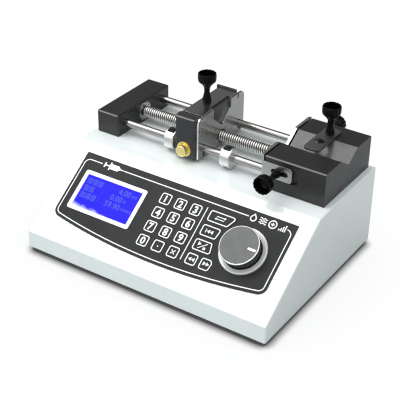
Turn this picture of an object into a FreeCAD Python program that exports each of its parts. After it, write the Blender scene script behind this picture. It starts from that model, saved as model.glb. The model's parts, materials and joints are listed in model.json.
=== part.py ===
# Syringe pump, bench type: one syringe lies in the vee of the right block, and a carriage on a
# lead screw and two guide rods pushes its plunger.
# Frame: +X from the drive end to the syringe end, +Y from the keypad to the back, +Z up.
# The origin lies on the bench, under the middle of the machine's overall outline.
import FreeCAD, Part
import math
import os
from types import SimpleNamespace

import Sketcher

DIMENSIONS = {
    # casing
    "casing_width": 280.0,
    "casing_depth": 210.0,
    "overall_depth": 236.0,
    "foot_height": 5.0,
    "foot_radius": 8.0,
    "foot_inset": 20.0,
    "sheet_wall": 2.0,
    "nose_height": 18.2,
    "slope_run": 93.3,
    "slope_rise": 65.5,
    "crown_run": 22.3,
    "crown_rise": 1.2,
    "casing_edge": 1.6,
    "corner_post": 12.0,
    "base_thickness": 1.5,
    # keypad, display and rotary knob, measured on the slope
    "panel_half_width": 124.0,
    "panel_top": 101.1,
    "panel_low": 16.2,
    "panel_side_low": 27.2,
    "panel_corner": 9.0,
    "panel_thickness": 1.0,
    "display_left": -113.3,
    "display_width": 76.3,
    "display_low": 38.0,
    "display_height": 44.6,
    "bezel_border": 4.1,
    "bezel_thickness": 1.6,
    "key_size": 11.8,
    "key_column": -15.4,
    "key_row": 34.1,
    "key_column_pitch": 17.7,
    "key_row_pitch": 15.77,
    "key_corner": 2.4,
    "key_height": 1.3,
    "key_depth": 0.7,
    "key_gap": 0.3,
    "knob_across": 85.5,
    "knob_up": 59.3,
    "knob_radius": 19.9,
    "knob_grip_radius": 19.0,
    "knob_height": 15.5,
    "knob_ring_radius": 24.0,
    "encoder_radius": 3.0,
    # drive
    "screw_depth_place": 40.75,
    "screw_height": 102.0,
    "screw_radius": 6.0,
    "screw_pitch": 2.5,
    "journal_radius": 4.0,
    "rod_radius": 4.0,
    "rod_spacing": 66.5,
    "pulley_radius": 8.5,
    "belt_thickness": 1.4,
    "belt_width": 6.0,
    "motor_size": 42.3,
    "motor_length": 48.0,
    "motor_height": 45.0,
    "motor_face": -112.0,
    "bearing_radius": 8.0,
    "bearing_width": 5.0,
    # end blocks
    "left_block_start": -135.6,
    "left_block_width": 27.2,
    "left_block_depth": 91.0,
    "left_block_height": 24.3,
    "right_block_start": 68.3,
    "right_block_width": 65.1,
    "right_block_depth": 93.5,
    "right_block_height": 35.6,
    "vee_width": 34.5,
    "vee_depth": 11.0,
    "block_edge": 1.5,
    # barrel bracket on the right block
    "bracket_start": 63.6,
    "bracket_sheet": 3.0,
    "bracket_proud": 0.6,
    "arm_end": 97.4,
    "arm_height": 111.0,
    "arm_half_height": 8.0,
    "arm_pocket_radius": 8.8,
    "arm_screw_place": 82.3,
    # syringe clamp plate
    "clamp_pivot_x": 99.9,
    "clamp_pivot_y": 63.3,
    "clamp_plate_start": 26.0,
    "clamp_plate_end": 75.5,
    "clamp_plate_width": 17.0,
    "clamp_plate_thickness": 2.5,
    "clamp_plate_corner": 4.0,
    # thumbscrews
    "stud_radius": 2.5,
    "thumb_height": 30.5,
    "thumb_radius": 9.4,
    "thumb_base_radius": 4.4,
    # carriage
    "carriage_start": -36.0,
    "carriage_width": 23.0,
    "carriage_front": -6.0,
    "carriage_back": 72.0,
    "carriage_low": 93.6,
    "carriage_top": 138.0,
    "carriage_lip_top": 140.7,
    "plunger_plate_face": -10.4,
    "plunger_sheet": 2.2,
    "plunger_plate_front": -3.0,
    "plunger_plate_back": 82.2,
    "plunger_flange_start": -32.7,
    "plunger_fold_front": 4.5,
    "plunger_fold_back": 69.4,
    "plunger_corner": 6.0,
    "plunger_flange_top": 139.0,
    "plunger_vee_half": 16.4,
    "plunger_vee_shoulder": 127.5,
    "plunger_vee_low": 115.0,
    "plunger_screw_x": -26.3,
    "plunger_screw_y": 36.0,
    "release_x": -25.2,
    "release_height": 103.0,
    "release_radius": 6.0,
    "release_face": -13.0,
    # stop collars
    "collar_radius": 11.0,
    "collar_width": 11.5,
    "collar_screw_radius": 4.1,
    "left_collar_start": -53.0,
    "right_collar_start": 13.5,
    "running_gap": 0.05,
}

doc = FreeCAD.newDocument("syringe_pump")
sheet = doc.addObject("Spreadsheet::Sheet", "dims")
for row, (alias, length) in enumerate(DIMENSIONS.items(), start=1):
    sheet.set(f"A{row}", alias)
    sheet.set(f"B{row}", str(length))
    sheet.setAlias(f"B{row}", alias)
doc.recompute()

Vector = FreeCAD.Vector
NODES = {}


class Size:
    """A length that knows its value and the spreadsheet expression that gives it."""

    def __init__(self, text, value):
        self.text = text
        self.value = value

    def __add__(self, other):
        return combine(self, "+", other)

    def __radd__(self, other):
        return combine(other, "+", self)

    def __sub__(self, other):
        return combine(self, "-", other)

    def __rsub__(self, other):
        return combine(other, "-", self)

    def __mul__(self, other):
        return combine(self, "*", other)

    def __rmul__(self, other):
        return combine(other, "*", self)

    def __truediv__(self, other):
        return combine(self, "/", other)

    def __neg__(self):
        return combine(0.0, "-", self)


def as_size(length):
    if isinstance(length, Size):
        return length
    return Size(f"({float(length)!r})", float(length))


def combine(left, sign, right):
    left = as_size(left)
    right = as_size(right)
    values = {
        "+": left.value + right.value,
        "-": left.value - right.value,
        "*": left.value * right.value,
    }
    value = left.value / right.value if sign == "/" else values[sign]
    return Size(f"({left.text} {sign} {right.text})", value)


def bind(thing, prop, length):
    thing.setExpression(prop, as_size(length).text)


d = SimpleNamespace(**{alias: Size(f"dims.{alias}", v) for alias, v in DIMENSIONS.items()})

# places that follow from the driving dimensions
case_right = d.casing_width / 2
case_front = -(d.overall_depth / 2)
case_back = case_front + d.casing_depth
case_low = d.foot_height
slope_low = case_low + d.nose_height
slope_high = slope_low + d.slope_rise
case_top = slope_high + d.crown_rise
crown_front = case_front + d.slope_run
crown_back = crown_front + d.crown_run
slope_angle = math.degrees(math.atan2(d.slope_rise.value, d.slope_run.value))
front_rod = d.screw_depth_place - d.rod_spacing / 2
back_rod = d.screw_depth_place + d.rod_spacing / 2
left_block_face = d.left_block_start + d.left_block_width
right_block_end = d.right_block_start + d.right_block_width
right_block_front = d.screw_depth_place - d.right_block_depth / 2
right_block_back = d.screw_depth_place + d.right_block_depth / 2
right_block_top = case_top + d.right_block_height
carriage_end = d.carriage_start + d.carriage_width
base_top = case_low + d.base_thickness
display_right = d.display_left + d.display_width
display_high = d.display_low + d.display_height

TURNS = {
    "x": FreeCAD.Rotation(Vector(0, 1, 0), 90),
    "y": FreeCAD.Rotation(Vector(1, 0, 0), -90),
    "-y": FreeCAD.Rotation(Vector(1, 0, 0), 90),
    "z": FreeCAD.Rotation(),
}
SLOPE = FreeCAD.Placement(
    Vector(0, case_front.value, slope_low.value),
    FreeCAD.Rotation(Vector(1, 0, 0), slope_angle),
)


def place(thing, x, y, z, axis="z"):
    """Puts the thing's own origin at x, y, z with its own +Z along the axis."""
    thing.Placement = FreeCAD.Placement(Vector(0, 0, 0), TURNS[axis])
    bind(thing, "Placement.Base.x", x)
    bind(thing, "Placement.Base.y", y)
    bind(thing, "Placement.Base.z", z)
    return thing


def node(name, thing):
    """Registers a finished sub-part under its node name."""
    thing.Label = name
    NODES[name] = thing
    return thing


# Part primitives and booleans

def box(low, high):
    thing = doc.addObject("Part::Box", "box")
    for prop, start, end in zip(("Length", "Width", "Height"), low, high):
        bind(thing, prop, end - start)
    return place(thing, *low)


def cylinder(radius, length, x, y, z, axis="z"):
    thing = doc.addObject("Part::Cylinder", "cylinder")
    bind(thing, "Radius", radius)
    bind(thing, "Height", length)
    return place(thing, x, y, z, axis)


def fuse(*parts):
    thing = doc.addObject("Part::MultiFuse", "fuse")
    thing.Shapes = list(parts)
    thing.Refine = True
    return thing


def cut(base, *tools):
    thing = doc.addObject("Part::Cut", "cut")
    thing.Base = base
    thing.Tool = tools[0] if len(tools) == 1 else fuse(*tools)
    return thing


def group(*parts):
    thing = doc.addObject("Part::Compound", "group")
    thing.Links = list(parts)
    return thing


def slot(radius, length, x, y, z, axis, reach):
    """A round-ended slot tool along X: half width radius, sunk by length along the axis."""
    ends = [cylinder(radius, length, x, y, z, axis), cylinder(radius, length, x + reach, y, z, axis)]
    if axis == "y":
        middle = box((x, y, z - radius), (x + reach, y + length, z + radius))
    else:
        middle = box((x, y - radius, z), (x + reach, y + radius, z + length))
    return fuse(middle, *ends)


def round_edges(base, radius, wanted):
    """Rounds the straight edges that wanted(middle, direction) picks."""
    doc.recompute()
    thing = doc.addObject("Part::Fillet", "fillet")
    thing.Base = base
    picked = []
    for number, edge in enumerate(base.Shape.Edges, start=1):
        if edge.Curve.TypeId != "Part::GeomLine":
            continue
        middle = edge.valueAt((edge.FirstParameter + edge.LastParameter) / 2)
        if wanted(middle, edge.tangentAt(edge.FirstParameter)):
            picked.append((number, radius.value, radius.value))
    if not picked:
        raise ValueError(f"no edge to round on {base.Name}")
    thing.Edges = picked
    return thing


# PartDesign bodies

def new_body(name):
    return doc.addObject("PartDesign::Body", name)


def new_sketch(body, plane, offset=0):
    """An empty sketch on one of the body's own origin planes, shifted along its normal."""
    sketch = body.newObject("Sketcher::SketchObject", "sketch")
    support = next(f for f in body.Origin.OriginFeatures if f.Role == plane)
    sketch.AttachmentSupport = [(support, "")]
    sketch.MapMode = "FlatFace"
    bind(sketch, "AttachmentOffset.Base.z", offset)
    return sketch


def fix_point(sketch, geometry, which, point):
    for kind, length in zip(("DistanceX", "DistanceY"), point):
        size = as_size(length)
        number = sketch.addConstraint(Sketcher.Constraint(kind, geometry, which, size.value))
        sketch.setExpression(f"Constraints[{number}]", size.text)


def flat(point):
    return Vector(as_size(point[0]).value, as_size(point[1]).value, 0)


def draw_polygon(sketch, points):
    first = sketch.GeometryCount
    count = len(points)
    for index, point in enumerate(points):
        line = Part.LineSegment(flat(point), flat(points[(index + 1) % count]))
        sketch.addGeometry(line, False)
    for index, point in enumerate(points):
        following = first + (index + 1) % count
        sketch.addConstraint(Sketcher.Constraint("Coincident", first + index, 2, following, 1))
        fix_point(sketch, first + index, 1, point)


def draw_rectangle(sketch, low, high):
    draw_polygon(sketch, [low, (high[0], low[1]), high, (low[0], high[1])])


def draw_circle(sketch, centre, radius):
    size = as_size(radius)
    circle = Part.Circle(flat(centre), Vector(0, 0, 1), size.value)
    index = sketch.addGeometry(circle, False)
    number = sketch.addConstraint(Sketcher.Constraint("Radius", index, size.value))
    sketch.setExpression(f"Constraints[{number}]", size.text)
    fix_point(sketch, index, 3, centre)


def pad(body, sketch, length):
    thing = body.newObject("PartDesign::Pad", "pad")
    thing.Profile = sketch
    bind(thing, "Length", length)
    return thing


def pocket(body, sketch, length, reverse=False):
    """Cuts the sketch into the body, and stops if nothing is removed."""
    doc.recompute()
    before = body.Shape.Volume
    thing = body.newObject("PartDesign::Pocket", "pocket")
    thing.Profile = sketch
    thing.Reversed = reverse
    bind(thing, "Length", length)
    doc.recompute()
    if not body.Shape.Volume < before - 1e-6:
        raise ValueError(f"pocket in {body.Name} removes nothing")
    return thing


def soften(body, feature, radius, wanted):
    """A PartDesign fillet on the straight edges that wanted(middle, direction) picks."""
    doc.recompute()
    names = []
    for number, edge in enumerate(feature.Shape.Edges, start=1):
        if edge.Curve.TypeId != "Part::GeomLine":
            continue
        middle = edge.valueAt((edge.FirstParameter + edge.LastParameter) / 2)
        if wanted(middle, edge.tangentAt(edge.FirstParameter)):
            names.append(f"Edge{number}")
    thing = body.newObject("PartDesign::Fillet", "soften")
    thing.Base = (feature, names)
    bind(thing, "Radius", radius)
    return thing


def upright(middle, direction):
    return abs(direction.z) > 0.99


def plate(name, points, low, thickness, corner=None):
    """A flat plate in its own XY plane, with its upright edges rounded if corner is given."""
    body = new_body(name)
    sketch = new_sketch(body, "XY_Plane", low)
    draw_polygon(sketch, points)
    feature = pad(body, sketch, thickness)
    if corner is not None:
        soften(body, feature, corner, upright)
    return body


def rectangle(x0, y0, x1, y1):
    return [(x0, y0), (x1, y0), (x1, y1), (x0, y1)]


def lathe(name, profile):
    """A turned piece about its own Z axis, from its (radius, height) outline."""
    body = new_body(name)
    sketch = new_sketch(body, "XZ_Plane")
    draw_polygon(sketch, profile)
    thing = body.newObject("PartDesign::Revolution", "turn")
    thing.Profile = sketch
    thing.ReferenceAxis = (sketch, ["V_Axis"])
    thing.Angle = 360.0
    return body


def flutes(body, radius, distance, low, length, count):
    """Cuts count round flutes, parallel to the body's Z axis, into its rim."""
    sketch = new_sketch(body, "XY_Plane", low)
    draw_circle(sketch, (distance, 0), radius)
    first = pocket(body, sketch, length, reverse=True)
    pattern = body.newObject("PartDesign::PolarPattern", "flutes")
    pattern.Originals = [first]
    pattern.Axis = (sketch, ["N_Axis"])
    pattern.Angle = 360.0
    pattern.Occurrences = count
    body.Tip = pattern
    return body


def on_slope(thing):
    """Moves a piece from slope coordinates (across, up the slope, outwards) onto the casing."""
    thing.Placement = SLOPE
    return thing


# Casing, base, feet and their screws

BLOCK_SCREW_PLACES = [
    (left_block_face - 4.5, d.screw_depth_place - 24.0),
    (left_block_face - 4.5, d.screw_depth_place + 24.0),
    (d.right_block_start + 12.0, d.screw_depth_place - 20.0),
    (d.right_block_start + 12.0, d.screw_depth_place + 20.0),
    (right_block_end - 8.0, d.screw_depth_place - 20.0),
    (right_block_end - 8.0, d.screw_depth_place + 20.0),
]
CORNERS = [(side, end) for side in (-1, 1) for end in ("front", "back")]
screw_shank = 2.0
screw_head = 3.6
screw_head_height = 2.0
screw_length = 10.0
belt_slot_x = (d.motor_face - 17.0, d.motor_face - 5.0)
belt_slot_y = (d.screw_depth_place - 11.5, d.screw_depth_place + 11.5)
inlet_x = (64.0, 116.0)
inlet_z = (30.0, 58.0)


def post_box(side, end):
    """The block inside a bottom corner of the casing that a base screw bites into."""
    inner = case_right - d.sheet_wall
    x = (inner - d.corner_post, inner) if side > 0 else (-inner, d.corner_post - inner)
    if end == "front":
        y = (case_front + d.sheet_wall, case_front + d.sheet_wall + d.corner_post)
    else:
        y = (case_back - d.sheet_wall - d.corner_post, case_back - d.sheet_wall)
    return (x[0], y[0], base_top), (x[1], y[1], base_top + d.corner_post)


def post_centre(side, end):
    low, high = post_box(side, end)
    return (low[0] + high[0]) / 2, (low[1] + high[1]) / 2


def casing_shell():
    """Folded sheet casing: low nose, sloped control face, nearly flat crown and flat top."""
    body = new_body("casing_body")
    outline = new_sketch(body, "YZ_Plane", -case_right)
    draw_polygon(outline, [
        (case_front, case_low), (case_back, case_low), (case_back, case_top),
        (crown_back, case_top), (crown_front, slope_high), (case_front, slope_low)])
    solid = pad(body, outline, d.casing_width)

    def outer_edge(middle, direction):
        at_side = abs(abs(middle.x) - case_right.value) < 0.01
        above_base = middle.z > case_low.value + 0.01
        fold = abs(direction.x) > 0.99 and (
            abs(middle.z - slope_low.value) < 0.01 or middle.z > slope_high.value - 0.01)
        return above_base and (at_side or fold)

    soften(body, solid, d.casing_edge, outer_edge)
    wall = d.sheet_wall
    lean = wall.value * math.tan(math.radians(slope_angle) / 2)
    hollow = new_sketch(body, "YZ_Plane", wall - case_right)
    draw_polygon(hollow, [
        (case_front + wall, case_low), (case_back - wall, case_low),
        (case_back - wall, case_top - wall), (crown_back, case_top - wall),
        (crown_front + lean, slope_high - wall), (case_front + wall, slope_low - lean)])
    pocket(body, hollow, d.casing_width - 2 * wall, reverse=True)
    return body


def slope_opening(x0, y0, x1, y1):
    tool = plate("opening", rectangle(x0, y0, x1, y1), -2 * d.sheet_wall, 4 * d.sheet_wall)
    return on_slope(tool)


def make_casing():
    posts = [box(*post_box(side, end)) for side, end in CORNERS]
    key_left = d.key_column - 9.0
    openings = [
        slope_opening(key_left, 25.0, 66.5, 90.0),
        slope_opening(d.display_left + 3.3, d.display_low + 3.2, display_right - 3.3,
                      display_high - 3.2),
        box((belt_slot_x[0], belt_slot_y[0], case_top - 5.0),
            (belt_slot_x[1], belt_slot_y[1], case_top + 1.0)),
        box((inlet_x[0], case_back - 5.0, inlet_z[0]), (inlet_x[1], case_back + 1.0, inlet_z[1])),
    ]
    encoder_hole = new_body("encoder_hole")
    sketch = new_sketch(encoder_hole, "XY_Plane", -2 * d.sheet_wall)
    draw_circle(sketch, (d.knob_across, d.knob_up), d.encoder_radius + 1.0)
    pad(encoder_hole, sketch, 4 * d.sheet_wall)
    openings.append(on_slope(encoder_hole))
    for x, y in BLOCK_SCREW_PLACES:
        openings.append(cylinder(screw_shank, 6.0, x, y, case_top - 5.0))
    for side, end in CORNERS:
        x, y = post_centre(side, end)
        openings.append(cylinder(screw_shank, screw_length, x, y, base_top - 1.0))
    node("housing_shell", cut(fuse(casing_shell(), *posts), *openings))


def make_base():
    inner = case_right - d.sheet_wall - 0.1
    sheet_metal = box((-inner, case_front + d.sheet_wall + 0.1, case_low),
                      (inner, case_back - d.sheet_wall - 0.1, base_top))
    holes = []
    for side, end in CORNERS:
        x, y = post_centre(side, end)
        holes.append(cylinder(screw_shank, 4.0, x, y, case_low - 1.0))
    node("base_plate", cut(sheet_metal, *holes))


def make_feet():
    feet = []
    for side in (-1, 1):
        for y in (case_front + d.foot_inset, case_back - d.foot_inset):
            profile = [(0, 0), (d.foot_radius - 1.5, 0), (d.foot_radius, d.foot_height),
                       (0, d.foot_height)]
            foot = lathe("foot", profile)
            feet.append(place(foot, side * (case_right - d.foot_inset), y, 0))
    node("rubber_feet", group(*feet))


def machine_screw(x, y, under_head):
    """A pan-head screw with its shank pointing up from the plane under its head."""
    profile = [(0, -screw_head_height), (screw_head - 0.8, -screw_head_height),
               (screw_head, 0), (screw_shank, 0), (screw_shank, screw_length - 2.0),
               (0, screw_length - 2.0)]
    return place(lathe("machine_screw", profile), x, y, under_head)


def make_screws():
    screws = [machine_screw(*post_centre(side, end), case_low) for side, end in CORNERS]
    screws += [machine_screw(x, y, case_top - d.sheet_wall) for x, y in BLOCK_SCREW_PLACES]
    node("machine_screws", group(*screws))


# Control panel: overlay, display, keys and rotary knob, all in slope coordinates

NUMBER_KEYS = ["0", "point", "clear", "7", "8", "9", "4", "5", "6", "1", "2", "3"]
KEY_COLUMNS = 3


def key_centre(number):
    column = number % KEY_COLUMNS
    row = number // KEY_COLUMNS
    return (d.key_column + column * d.key_column_pitch, d.key_row + row * d.key_row_pitch)


def square_key(centre):
    half = d.key_size / 2
    return rectangle(centre[0] - half, centre[1] - half, centre[0] + half, centre[1] + half)


def key_shapes():
    """Outline of every key by node name; the inner sides of the right group clear the knob."""
    shapes = {f"key_{name}": square_key(key_centre(i)) for i, name in enumerate(NUMBER_KEYS)}
    left = d.key_column + 2 * d.key_column_pitch + 15.4
    half = d.key_size / 2
    rows = [d.key_row + row * d.key_row_pitch for row in range(4)]
    shapes["key_back"] = rectangle(left, rows[0] - half, left + 11.6, rows[0] + half)
    shapes["key_forward"] = [
        (left + 15.6, rows[0] - half), (left + 26.6, rows[0] - half),
        (left + 28.0, rows[0] + half - 3.2), (left + 25.6, rows[0] + half),
        (left + 15.6, rows[0] + half)]
    shapes["key_run_stop"] = [
        (left, rows[1] - half), (left + 21.6, rows[1] - half),
        (left + 18.8, rows[1] + half), (left, rows[1] + half)]
    shapes["key_return"] = [
        (left, rows[2] - half), (left + 18.6, rows[2] - half),
        (left + 20.4, rows[2] + half), (left, rows[2] + half)]
    shapes["key_mode"] = [
        (left, rows[3] - half), (left + 24.8, rows[3] - half),
        (left + 31.0, rows[3] + half), (left, rows[3] + half)]
    return shapes


def grown(points, gap):
    """The outline pushed outwards by gap on each side of its middle."""
    middle = [sum(as_size(p[i]).value for p in points) / len(points) for i in (0, 1)]

    def shift(length, centre):
        return length + gap if as_size(length).value > centre else length - gap

    return [(shift(x, middle[0]), shift(y, middle[1])) for x, y in points]


def panel_sheet():
    body = new_body("panel_sheet")
    sketch = new_sketch(body, "XY_Plane")
    half = d.panel_half_width
    corners = [(-half, d.panel_side_low), (-half, d.panel_top), (half, d.panel_top),
               (half, d.panel_side_low)]
    for start, end in zip(corners, corners[1:]):
        sketch.addGeometry(Part.LineSegment(flat(start), flat(end)), False)
    arc = Part.Arc(flat(corners[0]), flat((0, d.panel_low)), flat(corners[3]))
    arc_index = sketch.addGeometry(arc, False)
    for index in range(2):
        sketch.addConstraint(Sketcher.Constraint("Coincident", index, 2, index + 1, 1))
    sketch.addConstraint(Sketcher.Constraint("Coincident", 0, 1, arc_index, 1))
    sketch.addConstraint(Sketcher.Constraint("Coincident", 2, 2, arc_index, 2))
    for index in range(3):
        fix_point(sketch, index, 1, corners[index])
    fix_point(sketch, 2, 2, corners[3])
    drop = d.panel_side_low - d.panel_low
    radius = (half * half + drop * drop) / (2 * drop)
    number = sketch.addConstraint(Sketcher.Constraint("Radius", arc_index, radius.value))
    sketch.setExpression(f"Constraints[{number}]", radius.text)
    solid = pad(body, sketch, d.panel_thickness)
    soften(body, solid, d.panel_corner,
           lambda middle, direction: upright(middle, direction) and middle.y < 40)
    return on_slope(body)


def make_panel():
    tools = []
    for points in key_shapes().values():
        tool = plate("key_window", grown(points, d.key_gap), -1.0, 4.0, d.key_corner)
        tools.append(on_slope(tool))
    window = plate("display_window", rectangle(d.display_left, d.display_low, display_right,
                   display_high), -1.0, 4.0, d.key_corner)
    tools.append(on_slope(window))
    spindle = new_body("spindle_window")
    sketch = new_sketch(spindle, "XY_Plane", -1.0)
    draw_circle(sketch, (d.knob_across, d.knob_up), d.encoder_radius + 1.0)
    pad(spindle, sketch, 4.0)
    tools.append(on_slope(spindle))
    node("control_panel", cut(panel_sheet(), *tools))


def make_keys():
    for name, points in key_shapes().items():
        key = plate(name, points, -d.key_depth, d.key_depth + d.key_height, d.key_corner)
        node(name, on_slope(key))


def make_display():
    border = d.bezel_border
    frame = plate("bezel_frame", rectangle(d.display_left, d.display_low, display_right,
                  display_high), 0, d.bezel_thickness, d.key_corner)
    sketch = new_sketch(frame, "XY_Plane")
    draw_rectangle(sketch, (d.display_left + border, d.display_low + border),
                   (display_right - border, display_high - border))
    pocket(frame, sketch, 2 * d.bezel_thickness, reverse=True)
    node("display_bezel", on_slope(frame))
    gap = border + 0.15
    module = new_body("module")
    back = new_sketch(module, "XY_Plane", -7.0)
    draw_rectangle(back, (d.display_left - 2.0, d.display_low - 3.0),
                   (display_right + 2.0, display_high + 3.0))
    pad(module, back, 7.0 - d.sheet_wall)
    glass = new_sketch(module, "XY_Plane", -d.sheet_wall)
    draw_rectangle(glass, (d.display_left + gap, d.display_low + gap),
                   (display_right - gap, display_high - gap))
    pad(module, glass, d.sheet_wall + 0.5)
    node("display_module", on_slope(module))


def knob_place(thing):
    """Sets a turned piece on the rotary knob's axis, in slope coordinates."""
    local = Vector(d.knob_across.value, d.knob_up.value, 0)
    thing.Placement = SLOPE.multiply(FreeCAD.Placement(local, FreeCAD.Rotation()))
    return thing


def make_knob():
    seat = d.panel_thickness
    ring_inner = d.knob_grip_radius + 0.9
    ring = lathe("ring", [
        (ring_inner, seat), (d.knob_ring_radius, seat), (d.knob_ring_radius, seat + 1.0),
        (d.knob_ring_radius - 1.4, seat + 2.6), (ring_inner, seat + 2.6)])
    node("knob_ring", knob_place(ring))
    grip_low = seat + 0.8
    grip_high = d.knob_height - 2.4
    bore = d.encoder_radius
    grip = lathe("grip", [
        (bore, grip_low), (d.knob_grip_radius, grip_low), (d.knob_grip_radius, grip_high),
        (0, grip_high), (0, grip_high - 3.0), (bore, grip_high - 3.0)])
    flutes(grip, 0.8, d.knob_grip_radius + 0.35, grip_low - 1.0, d.knob_height, 40)
    node("rotary_knob", knob_place(grip))
    cap = lathe("cap", [
        (0, grip_high), (d.knob_radius - 0.4, grip_high), (d.knob_radius, grip_high + 0.5),
        (d.knob_radius, d.knob_height - 0.7), (d.knob_radius - 1.3, d.knob_height),
        (0, d.knob_height)])
    node("knob_cap", knob_place(cap))
    shaft = lathe("shaft", [(0, -5.8), (bore, -5.8), (bore, grip_high - 3.0),
                            (0, grip_high - 3.0)])
    node("encoder_shaft", knob_place(shaft))


def make_control_board():
    """Circuit board under the keypad, with a tact switch under each key and the encoder."""
    board = new_body("board")
    low = -8.2
    top = -6.6
    card = new_sketch(board, "XY_Plane", low)
    draw_rectangle(card, (d.key_column - 14.6, 21.0), (112.0, 96.0))
    pad(board, card, top - low)
    switches = new_sketch(board, "XY_Plane", top)
    switch_half = 3.0
    for points in key_shapes().values():
        x = sum(as_size(p[0]).value for p in points) / len(points)
        y = sum(as_size(p[1]).value for p in points) / len(points)
        draw_rectangle(switches, (x - switch_half, y - switch_half),
                       (x + switch_half, y + switch_half))
    pad(board, switches, -top - d.key_depth - 0.45)
    spacers = new_sketch(board, "XY_Plane", top)
    for x in (d.key_column - 11.8, 109.0):
        for y in (24.0, 93.0):
            draw_circle(spacers, (x, y), 2.2)
    pad(board, spacers, -top - d.sheet_wall)
    encoder = new_sketch(board, "XY_Plane", top)
    draw_rectangle(encoder, (d.knob_across - 6.0, d.knob_up - 6.0),
                   (d.knob_across + 6.0, d.knob_up + 6.0))
    pad(board, encoder, 4.5)
    bore = new_sketch(board, "XY_Plane", -5.9)
    draw_circle(bore, (d.knob_across, d.knob_up), d.encoder_radius + d.running_gap)
    pocket(board, bore, 6.0, reverse=True)
    node("control_board", on_slope(board))


# Power entry and supply

def make_power():
    supply = box((20.0, -20.0, base_top), (112.0, 50.0, base_top + 34.0))
    vents = [box((30.0 + 12.0 * i, -10.0, base_top + 32.0), (34.0 + 12.0 * i, 40.0, base_top + 36.0))
             for i in range(7)]
    node("power_supply", cut(supply, *vents))
    x0, x1 = inlet_x
    z0, z1 = inlet_z
    body = box((x0, case_back - 20.0, z0), (x1, case_back, z1))
    flange = box((x0 - 3.0, case_back, z0 - 3.0), (x1 + 3.0, case_back + 2.0, z1 + 3.0))
    socket = box((x0 + 3.0, case_back - 14.0, z0 + 4.0), (x0 + 27.0, case_back + 3.0, z1 - 4.0))
    opening = box((x1 - 18.0, case_back - 14.0, z0 + 3.0), (x1 - 4.0, case_back + 3.0, z1 - 3.0))
    pins = [box((x0 + 8.0 + 6.0 * i, case_back - 15.0, z0 + 9.0 + 5.0 * (i % 2)),
                (x0 + 10.0 + 6.0 * i, case_back - 4.0, z0 + 13.0 + 5.0 * (i % 2)))
            for i in range(3)]
    middle_z = (z0 + z1) / 2
    pivot = 1.5
    pivot_y = case_back - 3.0
    pivot_seat = cylinder(pivot + d.running_gap, 15.8, x1 - 18.9, pivot_y, middle_z, "x")
    node("power_inlet", fuse(cut(fuse(body, flange), socket, opening, pivot_seat), *pins))
    rocker = new_body("rocker")
    sketch = new_sketch(rocker, "YZ_Plane", x1 - 17.7)
    draw_polygon(sketch, [
        (case_back - 7.0, middle_z - 8.6), (case_back - 1.0, middle_z - 9.4),
        (case_back + 0.2, middle_z), (case_back + 3.0, middle_z + 9.2),
        (case_back - 7.0, middle_z + 8.6)])
    pad(rocker, sketch, 13.4)
    pivot_pin = cylinder(pivot, 15.6, x1 - 18.8, pivot_y, middle_z, "x")
    node("power_rocker", fuse(rocker, pivot_pin))


# Drive: motor, pulleys, belt, lead screw, bearings and guide rods

pulley_low = d.motor_face - 15.5
pulley_width = 9.0


def make_motor():
    half = d.motor_size / 2
    y = d.screw_depth_place
    z = d.motor_height
    case = box((d.motor_face, y - half, z - half), (d.motor_face + d.motor_length, y + half, z + half))
    chamfered = doc.addObject("Part::Chamfer", "motor_case")
    chamfered.Base = case
    doc.recompute()
    corner = 4.0
    chamfered.Edges = [
        (number, corner, corner) for number, edge in enumerate(case.Shape.Edges, start=1)
        if abs(edge.tangentAt(edge.FirstParameter).x) > 0.99]
    boss = cylinder(11.0, 2.0, d.motor_face - 2.0, y, z, "x")
    bore = cylinder(d.stud_radius + d.running_gap, 24.0, d.motor_face - 3.0, y, z, "x")
    node("stepper_motor", cut(fuse(chamfered, boss), bore))
    upright_plate = box((d.motor_face - 2.0, y - half - 4.0, base_top),
                        (d.motor_face, y + half + 4.0, z + half))
    foot = box((d.motor_face - 2.0, y - half - 4.0, base_top),
               (d.motor_face + 30.0, y + half + 4.0, base_top + 2.0))
    hole = cylinder(11.0, 4.0, d.motor_face - 3.0, y, z, "x")
    node("motor_bracket", cut(fuse(upright_plate, foot), hole))


def pulley_profile(bore):
    rim = d.pulley_radius + 1.1
    flange = 1.0
    return [(bore, 0), (rim, 0), (rim, flange), (d.pulley_radius, flange),
            (d.pulley_radius, pulley_width - flange), (rim, pulley_width - flange),
            (rim, pulley_width), (bore, pulley_width)]


def make_pulleys():
    y = d.screw_depth_place
    shaft_reach = 35.0
    outline = pulley_profile(0)
    shaft = [(d.stud_radius, pulley_width), (d.stud_radius, shaft_reach), (0, shaft_reach)]
    pinion = lathe("motor_pinion", outline[:-1] + shaft)
    node("motor_pulley", place(pinion, pulley_low, y, d.motor_height, "x"))
    driven = lathe("driven_pulley", pulley_profile(d.journal_radius))
    node("screw_pulley", place(driven, pulley_low, y, d.screw_height, "x"))


def stadium(radius, start, width):
    y = d.screw_depth_place
    ends = [cylinder(radius, width, start, y, z, "x") for z in (d.motor_height, d.screw_height)]
    middle = box((start, y - radius, d.motor_height), (start + width, y + radius, d.screw_height))
    return fuse(middle, *ends)


def make_belt():
    start = pulley_low + (pulley_width - d.belt_width) / 2
    inner = d.pulley_radius + d.running_gap
    outer = stadium(inner + d.belt_thickness, start, d.belt_width)
    node("drive_belt", cut(outer, stadium(inner, start - 1.0, d.belt_width + 2.0)))


thread_start = left_block_face + 1.6
thread_end = d.right_block_start - 0.3


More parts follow.
